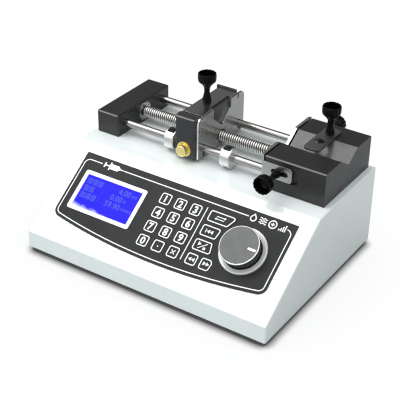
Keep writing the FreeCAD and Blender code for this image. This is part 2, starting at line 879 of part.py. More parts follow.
def make_lead_screw():
    """Turned shaft: plain journals and, between them, one vee ridge for every pitch."""
    x = pulley_low.value - 0.6
    crest = d.screw_radius.value
    root = crest - 0.6 * d.screw_pitch.value
    journal = d.journal_radius.value
    points = [(x, 0), (x, journal), (thread_start.value, journal)]
    ridges = int((thread_end.value - thread_start.value) / d.screw_pitch.value)
    land = 0.15 * d.screw_pitch.value
    for ridge in range(ridges):
        left = thread_start.value + ridge * d.screw_pitch.value
        centre = left + d.screw_pitch.value / 2
        points += [(left, root), (centre - land, crest), (centre + land, crest)]
    finish = thread_start.value + ridges * d.screw_pitch.value
    tail = d.right_block_start.value + 9.7
    points += [(finish, root), (finish, journal), (tail, journal), (tail, 0)]
    outline = Part.makePolygon([Vector(px, 0, pr) for px, pr in points + points[:1]])
    shape = Part.Face(outline).revolve(Vector(0, 0, 0), Vector(1, 0, 0), 360)
    thing = doc.addObject("Part::Feature", "lead_screw")
    thing.Shape = shape
    thing.Placement = FreeCAD.Placement(
        Vector(0, d.screw_depth_place.value, d.screw_height.value), FreeCAD.Rotation())
    node("lead_screw", thing)


def make_bearings():
    inner = d.journal_radius + d.running_gap
    flanged = [(inner, 0), (d.bearing_radius, 0), (d.bearing_radius, d.bearing_width),
               (d.bearing_radius + 2.0, d.bearing_width),
               (d.bearing_radius + 2.0, d.bearing_width + 1.2), (inner, d.bearing_width + 1.2)]
    left = place(lathe("left_bearing", flanged), left_block_face - d.bearing_width,
                 d.screw_depth_place, d.screw_height, "x")
    plain = [(inner, 0), (d.bearing_radius, 0), (d.bearing_radius, d.bearing_width),
             (inner, d.bearing_width)]
    right = place(lathe("right_bearing", plain), d.right_block_start,
                  d.screw_depth_place, d.screw_height, "x")
    node("screw_bearings", group(left, right))


rod_start = left_block_face - 6.0
rod_end = d.right_block_start + 15.0


def make_rods():
    rods = []
    for y in (front_rod, back_rod):
        end = 0.6
        span = rod_end - rod_start
        profile = [(0, 0), (d.rod_radius - end, 0), (d.rod_radius, end),
                   (d.rod_radius, span - end), (d.rod_radius - end, span), (0, span)]
        rods.append(place(lathe("rod", profile), rod_start, y, d.screw_height, "x"))
    node("guide_rods", group(*rods))


def make_left_block():
    y0 = d.screw_depth_place - d.left_block_depth / 2
    y1 = d.screw_depth_place + d.left_block_depth / 2
    top = case_top + d.left_block_height
    solid = box((d.left_block_start, y0, case_top), (left_block_face, y1, top))
    rounded = round_edges(
        solid, d.block_edge,
        lambda middle, direction: middle.z > top.value - 0.01 or upright(middle, direction))
    tools = [box((d.left_block_start + 4.0, belt_slot_y[0], case_top - 1.0),
                 (belt_slot_x[1] + 1.0, belt_slot_y[1], top - 1.7)),
             cylinder(d.bearing_radius, 10.0, left_block_face - 9.0, d.screw_depth_place,
                      d.screw_height, "x")]
    for y in (front_rod, back_rod):
        tools.append(cylinder(d.rod_radius, 8.0, rod_start, y, d.screw_height, "x"))
    for x, y in BLOCK_SCREW_PLACES[:2]:
        tools.append(cylinder(screw_shank, 9.0, x, y, case_top - 1.0))
    node("left_end_block", cut(rounded, *tools))


# Right block with its vee, the barrel bracket and the syringe clamp

def vee_outline(low, lift):
    """Block section across Y: flat shoulders either side of a shallow vee."""
    top = right_block_top + lift
    half = d.vee_width / 2
    y = d.screw_depth_place
    return [(right_block_front, low), (right_block_back, low), (right_block_back, top),
            (y + half, top), (y, top - d.vee_depth), (y - half, top), (right_block_front, top)]


def arm_pocket(y, depth):
    """Recess for one bracket arm: open at the block's face, round at its far end."""
    radius = d.arm_pocket_radius
    end = cylinder(radius, depth, d.arm_end - 0.4, y, d.arm_height, "y")
    run = box((d.right_block_start - 1.0, y, d.arm_height - radius),
              (d.arm_end - 0.4, y + depth, d.arm_height + radius))
    return fuse(run, end)


def make_right_block():
    body = new_body("right_block_body")
    section = new_sketch(body, "YZ_Plane", d.right_block_start)
    draw_polygon(section, vee_outline(case_top, 0))
    solid = pad(body, section, d.right_block_width)
    top = right_block_top.value
    outside = (right_block_front.value, right_block_back.value)

    def outer_top(middle, direction):
        return middle.z > top - 0.01 and min(abs(middle.y - y) for y in outside) < 0.01

    soften(body, solid, d.block_edge, outer_top)
    depth = d.bracket_sheet + 0.4
    y = d.screw_depth_place
    tools = [
        arm_pocket(right_block_front - 1.0, depth + 1.0),
        arm_pocket(right_block_back - depth, depth + 1.0),
        cylinder(d.bearing_radius, d.bearing_width + 1.0, d.right_block_start - 1.0, y,
                 d.screw_height, "x"),
        cylinder(d.journal_radius + 0.5, 12.0, d.right_block_start - 1.0, y, d.screw_height, "x"),
        cylinder(d.stud_radius + d.running_gap, 40.0, d.clamp_pivot_x, d.clamp_pivot_y,
                 right_block_top - 31.5),
    ]
    hole = d.stud_radius + d.running_gap
    tools.append(cylinder(hole, 18.0, d.arm_screw_place, right_block_front, d.arm_height, "y"))
    tools.append(cylinder(hole, 18.0, d.arm_screw_place, right_block_back - 18.0, d.arm_height, "y"))
    for rod in (front_rod, back_rod):
        tools.append(cylinder(d.rod_radius, 16.0, d.right_block_start - 1.0, rod,
                              d.screw_height, "x"))
    for x, place_y in BLOCK_SCREW_PLACES[2:]:
        tools.append(cylinder(screw_shank, 9.0, x, place_y, case_top - 1.0))
    node("right_end_block", cut(body, *tools))


def make_barrel_bracket():
    """Sheet bracket bent round the block; its end plate holds the syringe barrel's flange."""
    sheet_end = d.bracket_start + d.bracket_sheet
    body = new_body("bracket_plate")
    section = new_sketch(body, "YZ_Plane", d.bracket_start)
    draw_polygon(section, vee_outline(d.carriage_low, d.bracket_proud))
    pad(body, section, d.bracket_sheet)
    low = d.arm_height - d.arm_half_height
    high = d.arm_height + d.arm_half_height
    arms = []
    for y in (right_block_front, right_block_back - d.bracket_sheet):
        arm = box((sheet_end - 1.0, y, low), (d.arm_end, y + d.bracket_sheet, high))
        end = d.arm_end.value
        arms.append(round_edges(
            arm, d.bracket_sheet,
            lambda middle, direction: middle.x > end - 0.01 and abs(direction.y) > 0.99))
    tools = [cylinder(d.screw_radius + 1.2, 8.0, d.bracket_start - 1.0, d.screw_depth_place,
                      d.screw_height, "x")]
    for rod in (front_rod, back_rod):
        tools.append(cylinder(d.rod_radius + 0.4, 8.0, d.bracket_start - 1.0, rod,
                              d.screw_height, "x"))
    for y in (right_block_front, right_block_back - d.bracket_sheet):
        tools.append(slot(d.stud_radius + 0.3, d.bracket_sheet + 2.0, d.arm_screw_place - 4.7,
                          y - 1.0, d.arm_height, "y", 12.8))
    bent = fuse(body, *arms)
    front = right_block_front.value
    back = right_block_back.value
    start = d.bracket_start.value

    def bend(middle, direction):
        return upright(middle, direction) and middle.x < start + 0.01 and (
            abs(middle.y - front) < 0.01 or abs(middle.y - back) < 0.01)

    node("barrel_bracket", cut(round_edges(bent, d.bracket_sheet - 0.6, bend), *tools))


def thumb_profile(bore):
    """Outline of a thumbscrew knob from its base collar to the rim of its hollow head."""
    base = d.thumb_base_radius
    head = d.thumb_radius
    height = d.thumb_height
    return [
        (bore, 0), (base, 0), (base, 2.5), (base - 0.5, 5.0), (base - 1.3, 8.5),
        (base - 1.6, 11.0), (base - 1.3, 14.0), (base, 17.0), (head - 2.2, 20.5),
        (head - 0.4, 23.5), (head, 25.0), (head, height - 0.6), (head - 0.4, height),
        (head - 1.6, height), (head - 1.9, height - 4.0), (head - 4.6, height - 6.3),
        (0, height - 6.8), (0, 6.3), (bore, 6.3)]


def thumb_knob(name, bore):
    body = lathe(name, thumb_profile(bore))
    return flutes(body, 1.1, d.thumb_radius + 0.3, 18.0, d.thumb_height, 12)


def thumb_screw(name, reach):
    """A thumb knob moulded on its steel stud, which points down from the knob's base."""
    profile = thumb_profile(0)[1:-1]
    body = lathe(name, [(0, -reach), (d.stud_radius, -reach), (d.stud_radius, 0)] + profile[:-1])
    return flutes(body, 1.1, d.thumb_radius + 0.3, 18.0, d.thumb_height, 12)


def make_clamp():
    x = d.clamp_pivot_x
    y = d.clamp_pivot_y
    half = d.clamp_plate_width / 2
    outline = rectangle(x - half - 0.9, d.clamp_plate_start, x + half - 0.9, d.clamp_plate_end)
    bar = plate("clamp_bar", outline, right_block_top, d.clamp_plate_thickness,
                d.clamp_plate_corner)
    top = right_block_top + d.clamp_plate_thickness
    pivot = cylinder(d.stud_radius + d.running_gap, 6.0, x, y, right_block_top - 1.0)
    eye = cylinder(5.4, 6.0, x - 0.9, y - 18.6, right_block_top - 1.0)
    node("clamp_plate", cut(bar, pivot, eye))
    reach = 31.0
    stud = lathe("clamp_stud_body", [(0, -reach), (d.stud_radius - 0.5, -reach),
                 (d.stud_radius, 0.5 - reach), (d.stud_radius, 6.0), (0, 6.0)])
    node("clamp_stud", place(stud, x, y, top))
    node("clamp_knob", place(thumb_knob("clamp_knob_body", d.stud_radius + d.running_gap), x, y, top))


def make_arm_screws():
    reach = d.bracket_sheet + 12.0
    front = place(thumb_screw("front_screw", reach), d.arm_screw_place, right_block_front,
                  d.arm_height, "-y")
    node("front_thumbscrew", front)
    back = place(thumb_screw("back_screw", reach), d.arm_screw_place, right_block_back,
                 d.arm_height, "y")
    node("rear_thumbscrew", back)


# Carriage: body, bushes, plunger bracket, release button, half nut and spring

channel_half = 3.2
nut_half = 3.0
nut_low = d.carriage_low + 0.2
nut_high = d.carriage_low + 20.4
nut_front = d.release_face + 9.0
nut_back = d.screw_depth_place + 15.0
spring_end = nut_back + 9.6
spring_radius = 3.0
release_travel = 4.0


def make_carriage():
    shelf = d.plunger_plate_front + 7.0
    seat = d.plunger_flange_top - d.plunger_sheet - d.running_gap
    x0, x1 = d.carriage_start, carriage_end
    cheek = box((x0, d.carriage_front, d.carriage_low), (x1, shelf, d.carriage_top))
    main = box((x0, shelf, d.carriage_low), (x1, d.carriage_back, seat))
    foot = box((x0, d.carriage_back, d.carriage_low),
               (x1, d.plunger_plate_back, d.screw_height + 10.0))
    lip = box((x0, d.plunger_fold_back + d.running_gap, seat - 1.0),
              (x1, d.carriage_back, d.carriage_lip_top))
    front = d.carriage_front.value
    top = d.carriage_top.value
    solid = round_edges(
        fuse(cheek, main, foot, lip), d.block_edge,
        lambda middle, direction: middle.y < front + 0.01 and (
            upright(middle, direction) or middle.z > top - 0.01))
    width = d.carriage_width + 2.0
    start = x0 - 1.0
    release = d.release_x
    tools = [cylinder(d.screw_radius + 1.0, width, start, d.screw_depth_place, d.screw_height, "x")]
    for rod in (front_rod, back_rod):
        tools.append(cylinder(d.rod_radius + 2.0, width, start, rod, d.screw_height, "x"))
    tools.append(box((release - channel_half, nut_front - 0.2, d.carriage_low - 1.0),
                     (release + channel_half, spring_end, nut_high + 0.2)))
    bore_length = nut_front + release_travel + 0.4 - d.carriage_front
    tools.append(cylinder(d.release_radius + 1.0, bore_length + 1.0, release,
                          d.carriage_front - 1.0, d.release_height, "y"))
    tools.append(cylinder(d.stud_radius + d.running_gap, 16.0, d.plunger_screw_x, d.plunger_screw_y,
                          seat - 14.0))
    node("carriage_body", cut(solid, *tools))


def bush(x, length, y):
    inner = d.rod_radius + d.running_gap
    profile = [(inner, 0), (d.rod_radius + 2.0, 0), (d.rod_radius + 2.0, length), (inner, length)]
    return place(lathe("bush", profile), x, y, d.screw_height, "x")


def make_bushes():
    left = d.release_x - channel_half - d.carriage_start - 0.2
    right_start = d.release_x + channel_half + 0.2
    bushes = [bush(d.carriage_start, left, front_rod),
              bush(right_start, carriage_end - right_start, front_rod),
              bush(d.carriage_start, d.carriage_width, back_rod)]
    node("rod_bushes", group(*bushes))


def make_plunger_bracket():
    """Bent sheet: a top flange under the thumbscrew and a plate that traps the plunger."""
    face = d.plunger_plate_face
    sheet_low = face - d.plunger_sheet
    y0 = d.plunger_plate_front
    y1 = d.plunger_plate_back
    fold_start = d.plunger_fold_front
    fold_end = d.plunger_fold_back
    plate_top = d.plunger_flange_top - 1.5
    end_plate = round_edges(
        box((sheet_low, y0, d.carriage_low), (face, y1, plate_top)), d.plunger_corner,
        lambda middle, direction: abs(direction.x) > 0.99 and middle.z > plate_top.value - 0.01)
    flange_low = d.plunger_flange_top - d.plunger_sheet
    flange = box((d.plunger_flange_start, fold_start, flange_low),
                 (face, fold_end, d.plunger_flange_top))
    web = box((sheet_low, fold_start, plate_top - 6.0), (face, fold_end, flange_low + 1.0))
    top = d.plunger_flange_top.value
    outer = face.value

    def fold(middle, direction):
        return abs(direction.y) > 0.99 and middle.z > top - 0.01 and middle.x > outer - 0.01

    bent = round_edges(fuse(flange, web), d.plunger_sheet, fold)
    notch = new_body("plunger_notch")
    outline = new_sketch(notch, "YZ_Plane", sheet_low - 3.0)
    y = d.screw_depth_place
    half = d.plunger_vee_half
    draw_polygon(outline, [
        (y - 1.5, d.plunger_vee_low), (y + 1.5, d.plunger_vee_low),
        (y + half, d.plunger_vee_shoulder), (y + half, d.plunger_flange_top + 2.0),
        (y - half, d.plunger_flange_top + 2.0), (y - half, d.plunger_vee_shoulder)])
    wedge = pad(notch, outline, d.plunger_sheet + 4.6)
    vee_top = d.plunger_flange_top.value + 1.0
    soften(notch, wedge, as_size(2.0),
           lambda middle, direction: abs(direction.x) > 0.99 and middle.z < vee_top)
    width = d.plunger_sheet + 4.0
    start = sheet_low - 2.0
    openings = ((y, d.screw_radius + 1.4, 1.2), (front_rod, d.rod_radius + 0.3, 2.6),
                (back_rod, d.rod_radius + 0.3, 2.6))
    tools = [notch]
    for middle, radius, slit in openings:
        tools.append(cylinder(radius, width, start, middle, d.screw_height, "x"))
        tools.append(box((start, middle - slit, d.carriage_low - 1.0),
                         (start + width, middle + slit, d.screw_height)))
    for middle, radius, depth in ((fold_end + 1.2, 1.2, 5.0), (fold_start - 0.6, 0.6, 3.0)):
        low = plate_top - depth
        tools.append(cylinder(as_size(radius), width, start, middle, low, "x"))
        tools.append(box((start, middle - radius, low),
                         (start + width, middle + radius, d.plunger_flange_top + 1.0)))
    tools.append(slot(d.stud_radius + 0.2, 6.0, d.plunger_screw_x - 2.5, d.plunger_screw_y,
                      flange_low - 1.0, "z", 2.5))
    node("plunger_bracket", cut(fuse(end_plate, bent), *tools))
    screw = thumb_screw("plunger_screw", d.plunger_sheet + 12.0)
    node("plunger_thumbscrew", place(screw, d.plunger_screw_x, d.plunger_screw_y, d.plunger_flange_top))


def make_release():
    x = d.release_x
    z = d.release_height
    radius = d.release_radius
    length = nut_front - d.release_face
    button = lathe("button", [(0, 0), (radius - 0.5, 0), (radius, 0.5), (radius, length), (0, length)])
    node("release_button", place(button, x, d.release_face, z, "y"))
    collar = lathe("collar", [
        (radius + 1.0, -0.9), (radius + 2.0, -0.6), (radius + 2.0, 0), (radius + 1.0, 0),
        (radius + 1.0, 1.8), (radius + d.running_gap, 1.8), (radius + d.running_gap, -0.3)])
    node("release_bushing", place(collar, x, d.carriage_front, z, "y"))
    slide = box((x - nut_half, nut_front, nut_low), (x + nut_half, nut_back, nut_high))
    rod_window = box((x - 4.0, front_rod - d.rod_radius - release_travel - 0.5, d.screw_height - 4.5),
                     (x + 4.0, front_rod + d.rod_radius + 0.5, d.screw_height + 4.5))
    grip = d.screw_radius + d.running_gap
    y = d.screw_depth_place
    nut_bore = cylinder(grip, 8.0, x - 4.0, y, d.screw_height, "x")
    nut_window = box((x - 4.0, y - grip - release_travel - 0.3, d.screw_height - grip),
                     (x + 4.0, y, d.screw_height + grip))
    node("half_nut", cut(slide, rod_window, nut_bore, nut_window))


def make_spring():
    wire = 0.45
    turns = 5
    length = spring_end.value - nut_back.value - 0.2 - 2 * wire
    helix = Part.makeHelix(length / turns, length, spring_radius - wire)
    start = Vector(spring_radius - wire, 0, 0)
    ring = Part.Wire([Part.makeCircle(wire, start, Vector(0, 1, 0))])
    coil = Part.Wire(helix).makePipeShell([ring], True, True)
    thing = doc.addObject("Part::Feature", "return_spring")
    thing.Shape = coil
    thing.Placement = FreeCAD.Placement(
        Vector(d.release_x.value, nut_back.value + 0.1 + wire, d.release_height.value), TURNS["y"])
    node("return_spring", thing)


# Stop collars on the front rod

def make_collar(side, start):
    middle = start + d.collar_width / 2
    radius = d.collar_radius
    edge = 0.8
    inner = d.rod_radius + d.running_gap
    width = d.collar_width
    ring = lathe("ring", [(inner, 0), (radius - edge, 0), (radius, edge), (radius, width - edge),
                          (radius - edge, width), (inner, width)])
    place(ring, start, front_rod, d.screw_height, "x")
    seat = d.screw_height + 6.5
    across = d.collar_screw_radius + 0.3
    recess = box((middle - across, front_rod - 5.6, seat),
                 (middle + across, front_rod + 5.6, seat + 6.0))
    hole = cylinder(2.0, 6.0, middle, front_rod, d.screw_height + d.rod_radius)
    node(f"{side}_stop_collar", cut(ring, recess, hole))
    socket = 2.3
    head = cylinder(d.collar_screw_radius, 3.4, middle, front_rod, seat)
    shank = cylinder(2.0, 3.4, middle, front_rod, seat - 2.4)
    key = new_body("hex_socket")
    sketch = new_sketch(key, "XY_Plane", seat + 1.6)
    corners = [math.radians(60 * i) for i in range(6)]
    draw_polygon(sketch, [(middle + socket * math.cos(a), front_rod + socket * math.sin(a))
                          for a in corners])
    pad(key, sketch, 3.0)
    node(f"{side}_collar_screw", cut(fuse(head, shank), key))


make_casing()
make_base()
make_feet()
make_screws()
make_panel()
make_display()
make_keys()
make_knob()
make_control_board()
make_power()
make_motor()
make_pulleys()
make_belt()
make_lead_screw()
make_bearings()
make_rods()
make_left_block()
make_right_block()
make_barrel_bracket()
make_clamp()
make_arm_screws()
make_carriage()
make_bushes()
make_plunger_bracket()
make_release()
make_spring()
make_collar("left", d.left_collar_start)
make_collar("right", d.right_collar_start)
doc.recompute()

faults = [thing.Name for thing in doc.Objects if {"Invalid", "Error"} & set(thing.State)]
faults += [name for name, thing in NODES.items() if thing.Shape.isNull() or not thing.Shape.isValid()]
if faults:
    raise SystemExit(f"these objects failed: {faults}")
os.makedirs("parts", exist_ok=True)
for name, thing in NODES.items():
    thing.Shape.exportStep(f"parts/{name}.step")
print(len(NODES), "sub-parts written")
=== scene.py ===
"""Looks of a bench syringe pump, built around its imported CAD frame. Lengths are in metres."""
import json
import math

import bmesh
import bpy
from mathutils import Matrix, Vector


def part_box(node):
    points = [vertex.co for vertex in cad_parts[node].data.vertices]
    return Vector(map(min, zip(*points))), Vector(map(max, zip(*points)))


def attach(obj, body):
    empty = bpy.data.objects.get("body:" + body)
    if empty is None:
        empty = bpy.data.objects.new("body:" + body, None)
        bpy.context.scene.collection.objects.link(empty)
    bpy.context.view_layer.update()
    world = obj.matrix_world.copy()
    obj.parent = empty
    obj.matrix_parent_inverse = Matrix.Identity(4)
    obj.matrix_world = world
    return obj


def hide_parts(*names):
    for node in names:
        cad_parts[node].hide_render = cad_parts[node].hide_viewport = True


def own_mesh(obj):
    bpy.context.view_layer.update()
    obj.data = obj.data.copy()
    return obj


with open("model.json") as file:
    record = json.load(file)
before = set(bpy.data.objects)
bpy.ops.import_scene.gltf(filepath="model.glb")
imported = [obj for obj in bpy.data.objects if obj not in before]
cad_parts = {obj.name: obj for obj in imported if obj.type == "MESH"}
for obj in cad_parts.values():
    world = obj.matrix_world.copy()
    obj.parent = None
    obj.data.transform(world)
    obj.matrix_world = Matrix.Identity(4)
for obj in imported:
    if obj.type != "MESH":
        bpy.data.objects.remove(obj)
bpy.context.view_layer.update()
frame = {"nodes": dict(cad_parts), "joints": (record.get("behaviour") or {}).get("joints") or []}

MM = 0.001
FULL_TURN = 2 * math.pi
SCREW_RADIUS = 6 * MM
SCREW_PITCH = 2.5 * MM
joints = {joint["name"]: joint for joint in frame["joints"]}


# Meshes

def centre(node):
    low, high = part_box(node)
    return (low + high) / 2


def add_piece(name, mesh, body, surface, replaces=(), at=None):
    """Links a mesh as a piece that rides on a CAD body."""
    thing = bpy.data.objects.new(name, mesh)
    bpy.context.scene.collection.objects.link(thing)
    if at is not None:
        mesh.transform(at)
    mesh.materials.append(surface)
    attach(thing, body)
    if replaces:
        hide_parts(*replaces)
    return thing


def to_mesh(work, name, sharp=35):
    """Finishes a bmesh: outward faces, smooth shading and sharp creases above an angle."""
    bmesh.ops.recalc_face_normals(work, faces=work.faces)
    mesh = bpy.data.meshes.new(name)
    work.to_mesh(mesh)
    work.free()
    mesh.shade_smooth()
    mesh.set_sharp_from_angle(angle=math.radians(sharp))
    return mesh


def lathe(name, profile, segments=96, shape=None, sharp=35, closed=False):
    """Turns (radius, height) points about Z; shape(radius, height, angle) may vary the radius."""
    work = bmesh.new()
    rings = []
    for radius, height in profile:
        if radius < 1e-7:
            rings.append([work.verts.new((0, 0, height))])
            continue
        ring = []
        for step in range(segments):
            angle = FULL_TURN * step / segments
            r = shape(radius, height, angle) if shape else radius
            ring.append(work.verts.new((r * math.cos(angle), r * math.sin(angle), height)))
        rings.append(ring)
    if closed:
        rings.append(rings[0])
    for lower, upper in zip(rings, rings[1:]):
        for step in range(segments):
            following = (step + 1) % segments
            corners = [lower[step % len(lower)], lower[following % len(lower)],
                       upper[following % len(upper)], upper[step % len(upper)]]
            unique = list(dict.fromkeys(corners))
            if len(unique) > 2:
                work.faces.new(unique)
    return to_mesh(work, name, sharp)


def skin(work, rings):
    """Joins each ring of points to the next with a band of faces."""
    for lower, upper in zip(rings, rings[1:]):
        for index in range(len(lower)):
            following = (index + 1) % len(lower)
            work.faces.new((lower[index], lower[following], upper[following], upper[index]))


def rounded(points, radius, steps=6):
    """A closed outline with each corner turned into an arc of the given radius."""
    outline = []
    count = len(points)
    for index, corner in enumerate(points):
        corner = Vector(corner)
        back = Vector(points[index - 1]) - corner
        ahead = Vector(points[(index + 1) % count]) - corner
        room = min(back.length, ahead.length) / 2
        outline += corner_arc(corner, back.normalized(), ahead.normalized(), radius, room, steps)
    return outline


def corner_arc(corner, back, ahead, radius, room, steps):
    """The arc that rounds one corner, made smaller where the edges beside it are short."""
    half = math.acos(max(-1, min(1, back.dot(ahead)))) / 2
    radius = min(radius, room * math.tan(half))
    middle = corner + (back + ahead).normalized() * radius / math.sin(half)
    start = (corner + back * radius / math.tan(half) - middle).normalized()
    end = (corner + ahead * radius / math.tan(half) - middle).normalized()
    return [middle + start.slerp(end, step / steps) * radius for step in range(steps + 1)]


def plate_into(work, outline, low, high):
    """Adds a flat plate with the given outline as a closed solid, and gives its top face."""
    lower = [work.verts.new((*point, low)) for point in outline]
    upper = [work.verts.new((*point, high)) for point in outline]
    work.faces.new(lower[::-1])
    top = work.faces.new(upper)
    skin(work, (lower, upper))
    return top


def prism(name, outline, low, high, soften=0.0):
    """A flat plate with the given outline, its top rim softened by a small bevel."""
    work = bmesh.new()
    top = plate_into(work, outline, low, high)
    if soften:
        bmesh.ops.bevel(work, geom=list(top.edges), offset=soften, segments=3, affect="EDGES",
                        profile=0.5)
    return to_mesh(work, name)


def stroke(work, path, width, low, high, closed=False):
    """Adds a printed line of even width along a flat path, as a thin closed solid."""
    points = [Vector(point).to_2d() for point in path]
    path = [p for i, p in enumerate(points) if (i == 0 and not closed)
            or (p - points[i - 1]).length > 1e-6]
    count = len(path)
    rows = []
    for index, point in enumerate(path):
        first = not closed and index == 0
        last = not closed and index == count - 1
        outward = None if last else (path[(index + 1) % count] - point).normalized()
        inward = outward if first else (point - path[index - 1]).normalized()
        along = inward if last else (inward + outward).normalized()
        side = Vector((-along.y, along.x))
        reach = width / 2 / max(0.5, side.dot(Vector((-inward.y, inward.x))))
        rows.append([work.verts.new((*(point + side * reach * sign), height))
                     for sign, height in ((1, low), (1, high), (-1, high), (-1, low))])
    if closed:
        skin(work, rows + rows[:1])
        return
    skin(work, rows)
    work.faces.new(rows[0][::-1])
    work.faces.new(rows[-1])


def arc(x, y, radius, start, turn, steps):
    """Points along part of a circle, in degrees, both ends included."""
    angles = [math.radians(start + turn * step / steps) for step in range(steps + 1)]
    return [(x + radius * math.cos(angle), y + radius * math.sin(angle)) for angle in angles]


# Surfaces: every material is a Principled shader varied by its own small node graph

class Surface:
    """Builds one procedural material; its patterns follow the object's own coordinates."""

    def __init__(self, name, color, roughness, metallic=0.0, **inputs):
        self.material = bpy.data.materials.new(name)
        self.material.use_nodes = True
        self.tree = self.material.node_tree
        self.shader = self.tree.nodes["Principled BSDF"]
        self.color = color
        self.value = roughness
        self.shader.inputs["Base Color"].default_value = (*color, 1)
        self.shader.inputs["Roughness"].default_value = roughness
        self.shader.inputs["Metallic"].default_value = metallic
        for key, setting in inputs.items():
            self.shader.inputs[key.replace("_", " ")].default_value = setting
        self.place = self.node("ShaderNodeTexCoord").outputs["Object"]
        self.normal = None
        self.color_socket = None

    def node(self, kind, **settings):
        made = self.tree.nodes.new(kind)
        for key, setting in settings.items():
            setattr(made, key, setting)
        return made

    def join(self, source, target):
        self.tree.links.new(source, target)

    def stretched(self, stretch):
        mapping = self.node("ShaderNodeMapping")
        mapping.inputs["Scale"].default_value = stretch
        self.join(self.place, mapping.inputs["Vector"])
        return mapping.outputs["Vector"]

    def noise(self, size, detail, stretch=(1, 1, 1)):
        """Noise whose grains measure about size metres."""
        made = self.node("ShaderNodeTexNoise")
        made.inputs["Scale"].default_value = 1 / size
        made.inputs["Detail"].default_value = detail
        self.join(self.stretched(stretch), made.inputs["Vector"])
        return made.outputs["Fac"]

    def spread(self, source, low, high, start=0.3, end=0.7):
        """Turns a value that runs from start to end into one that runs from low to high."""
        made = self.node("ShaderNodeMapRange")
        made.inputs["From Min"].default_value = start
        made.inputs["From Max"].default_value = end
        made.inputs["To Min"].default_value = low
        made.inputs["To Max"].default_value = high
        self.join(source, made.inputs["Value"])
        return made.outputs["Result"]

    def maths(self, operation, first, second):
        made = self.node("ShaderNodeMath", operation=operation)
        for socket, value in zip(made.inputs, (first, second)):
            if isinstance(value, (int, float)):
                socket.default_value = value
            else:
                self.join(value, socket)
        return made.outputs["Value"]

    def tint(self, mask, color):
        """Mixes another colour in where the mask is high."""
        mix = self.node("ShaderNodeMix", data_type="RGBA")
        if self.color_socket is None:
            mix.inputs[6].default_value = (*self.color, 1)
        else:
            self.join(self.color_socket, mix.inputs[6])
        mix.inputs[7].default_value = (*color, 1)
        self.join(mask, mix.inputs["Factor"])
        self.color_socket = mix.outputs[2]
        self.join(self.color_socket, self.shader.inputs["Base Color"])
        return self

    def openness(self, distance, closed, open_air, shade):
        """From shade to 1 as less of the surroundings within a distance is blocked."""
        made = self.node("ShaderNodeAmbientOcclusion", samples=16)
        made.inputs["Distance"].default_value = distance
        return self.spread(made.outputs["AO"], shade, 1, closed, open_air)

    def off_axis(self, point, direction, near, far):
        """A mask that falls from 1 to 0 between two distances from an axis."""
        apart = self.node("ShaderNodeVectorMath", operation="SUBTRACT")
        self.join(self.place, apart.inputs[0])
        apart.inputs[1].default_value = point
        across = self.node("ShaderNodeVectorMath", operation="CROSS_PRODUCT")
        self.join(apart.outputs["Vector"], across.inputs[0])
        across.inputs[1].default_value = direction
        radius = self.node("ShaderNodeVectorMath", operation="LENGTH")
        self.join(across.outputs["Vector"], radius.inputs[0])
        return self.spread(radius.outputs["Value"], 1, 0, near, far)

    def facing(self, direction, start, end):
        """A mask for surfaces that look along a direction of the machine."""
        dot = self.node("ShaderNodeVectorMath", operation="DOT_PRODUCT")
        self.join(self.node("ShaderNodeNewGeometry").outputs["Normal"], dot.inputs[0])
        dot.inputs[1].default_value = direction
        return self.spread(dot.outputs["Value"], 0, 1, start, end)

    def painted_cut_highlight(self, color, start):
        """A painted highlight on the sheet's cut edges that face along Y, on the side beyond start
        along X.
        """
        facing = self.maths("MAXIMUM", self.facing((0, 1, 0), 0.4, 0.6),
                            self.facing((0, -1, 0), 0.4, 0.6))
        parts = self.node("ShaderNodeSeparateXYZ")
        self.join(self.place, parts.inputs[0])
        beyond = self.spread(parts.outputs["X"], 0, 1, start - 0.3 * MM, start)
        return self.tint(self.maths("MULTIPLY", facing, beyond), color)

    def vary(self, size, depth, stretch=(1, 1, 1)):
        """Slow light and dark changes of the base colour."""
        shade = tuple(c * (1 - depth) for c in self.color)
        return self.tint(self.spread(self.noise(size, 4.0, stretch), 0, 1), shade)

    def scuff(self, size, amount, stretch=(1, 1, 1)):
        """Roughness that changes over the surface."""
        source = self.noise(size, 5.0, stretch)
        low = max(0.02, self.value - amount)
        self.join(self.spread(source, low, self.value + amount), self.shader.inputs["Roughness"])
        return self

    def bump(self, source, depth):
        """Raises the surface by depth metres where the source is high."""
        made = self.node("ShaderNodeBump")
        made.inputs["Distance"].default_value = depth
        self.join(source, made.inputs["Height"])
        if self.normal is not None:
            self.join(self.normal, made.inputs["Normal"])
        self.normal = made.outputs["Normal"]
        self.join(self.normal, self.shader.inputs["Normal"])
        return self

    def grain(self, size, depth, stretch=(1, 1, 1)):
        return self.bump(self.noise(size, 2.0, stretch), depth)

    def soft_edges(self, radius):
        """Shades sharp edges as if they were rounded."""
        made = self.node("ShaderNodeBevel", samples=4)
        made.inputs["Radius"].default_value = radius
        self.normal = made.outputs["Normal"]
        self.join(self.normal, self.shader.inputs["Normal"])
        return self

    def rubbed_and_lit_edges(self, color, radius, amount):
        """Rubs the colour off along the edges, in patches of a few millimetres; the lighter edges are
        also a painted edge highlight.
        """
        bevel = self.node("ShaderNodeBevel", samples=4)
        bevel.inputs["Radius"].default_value = radius
        flat = self.node("ShaderNodeNewGeometry")
        dot = self.node("ShaderNodeVectorMath", operation="DOT_PRODUCT")
        self.join(bevel.outputs["Normal"], dot.inputs[0])
        self.join(flat.outputs["Normal"], dot.inputs[1])
        edge = self.spread(dot.outputs["Value"], amount, 0, 0.80, 0.985)
        patchy = self.spread(self.noise(2.5 * MM, 5.0), 0.25, 1, 0.35, 0.6)
        return self.tint(self.maths("MULTIPLY", edge, patchy), color)


def casing_paint():
    """White gloss powder coat with a little orange peel."""
    paint = Surface("casing_paint", (0.755, 0.805, 0.80), 0.32, Coat_Weight=1.0,
                    Coat_Roughness=0.04)
    paint.vary(60 * MM, 0.02)
    paint.soft_edges(1.2 * MM)
    paint.scuff(25 * MM, 0.04)
    return paint.grain(2.2 * MM, 0.004 * MM)


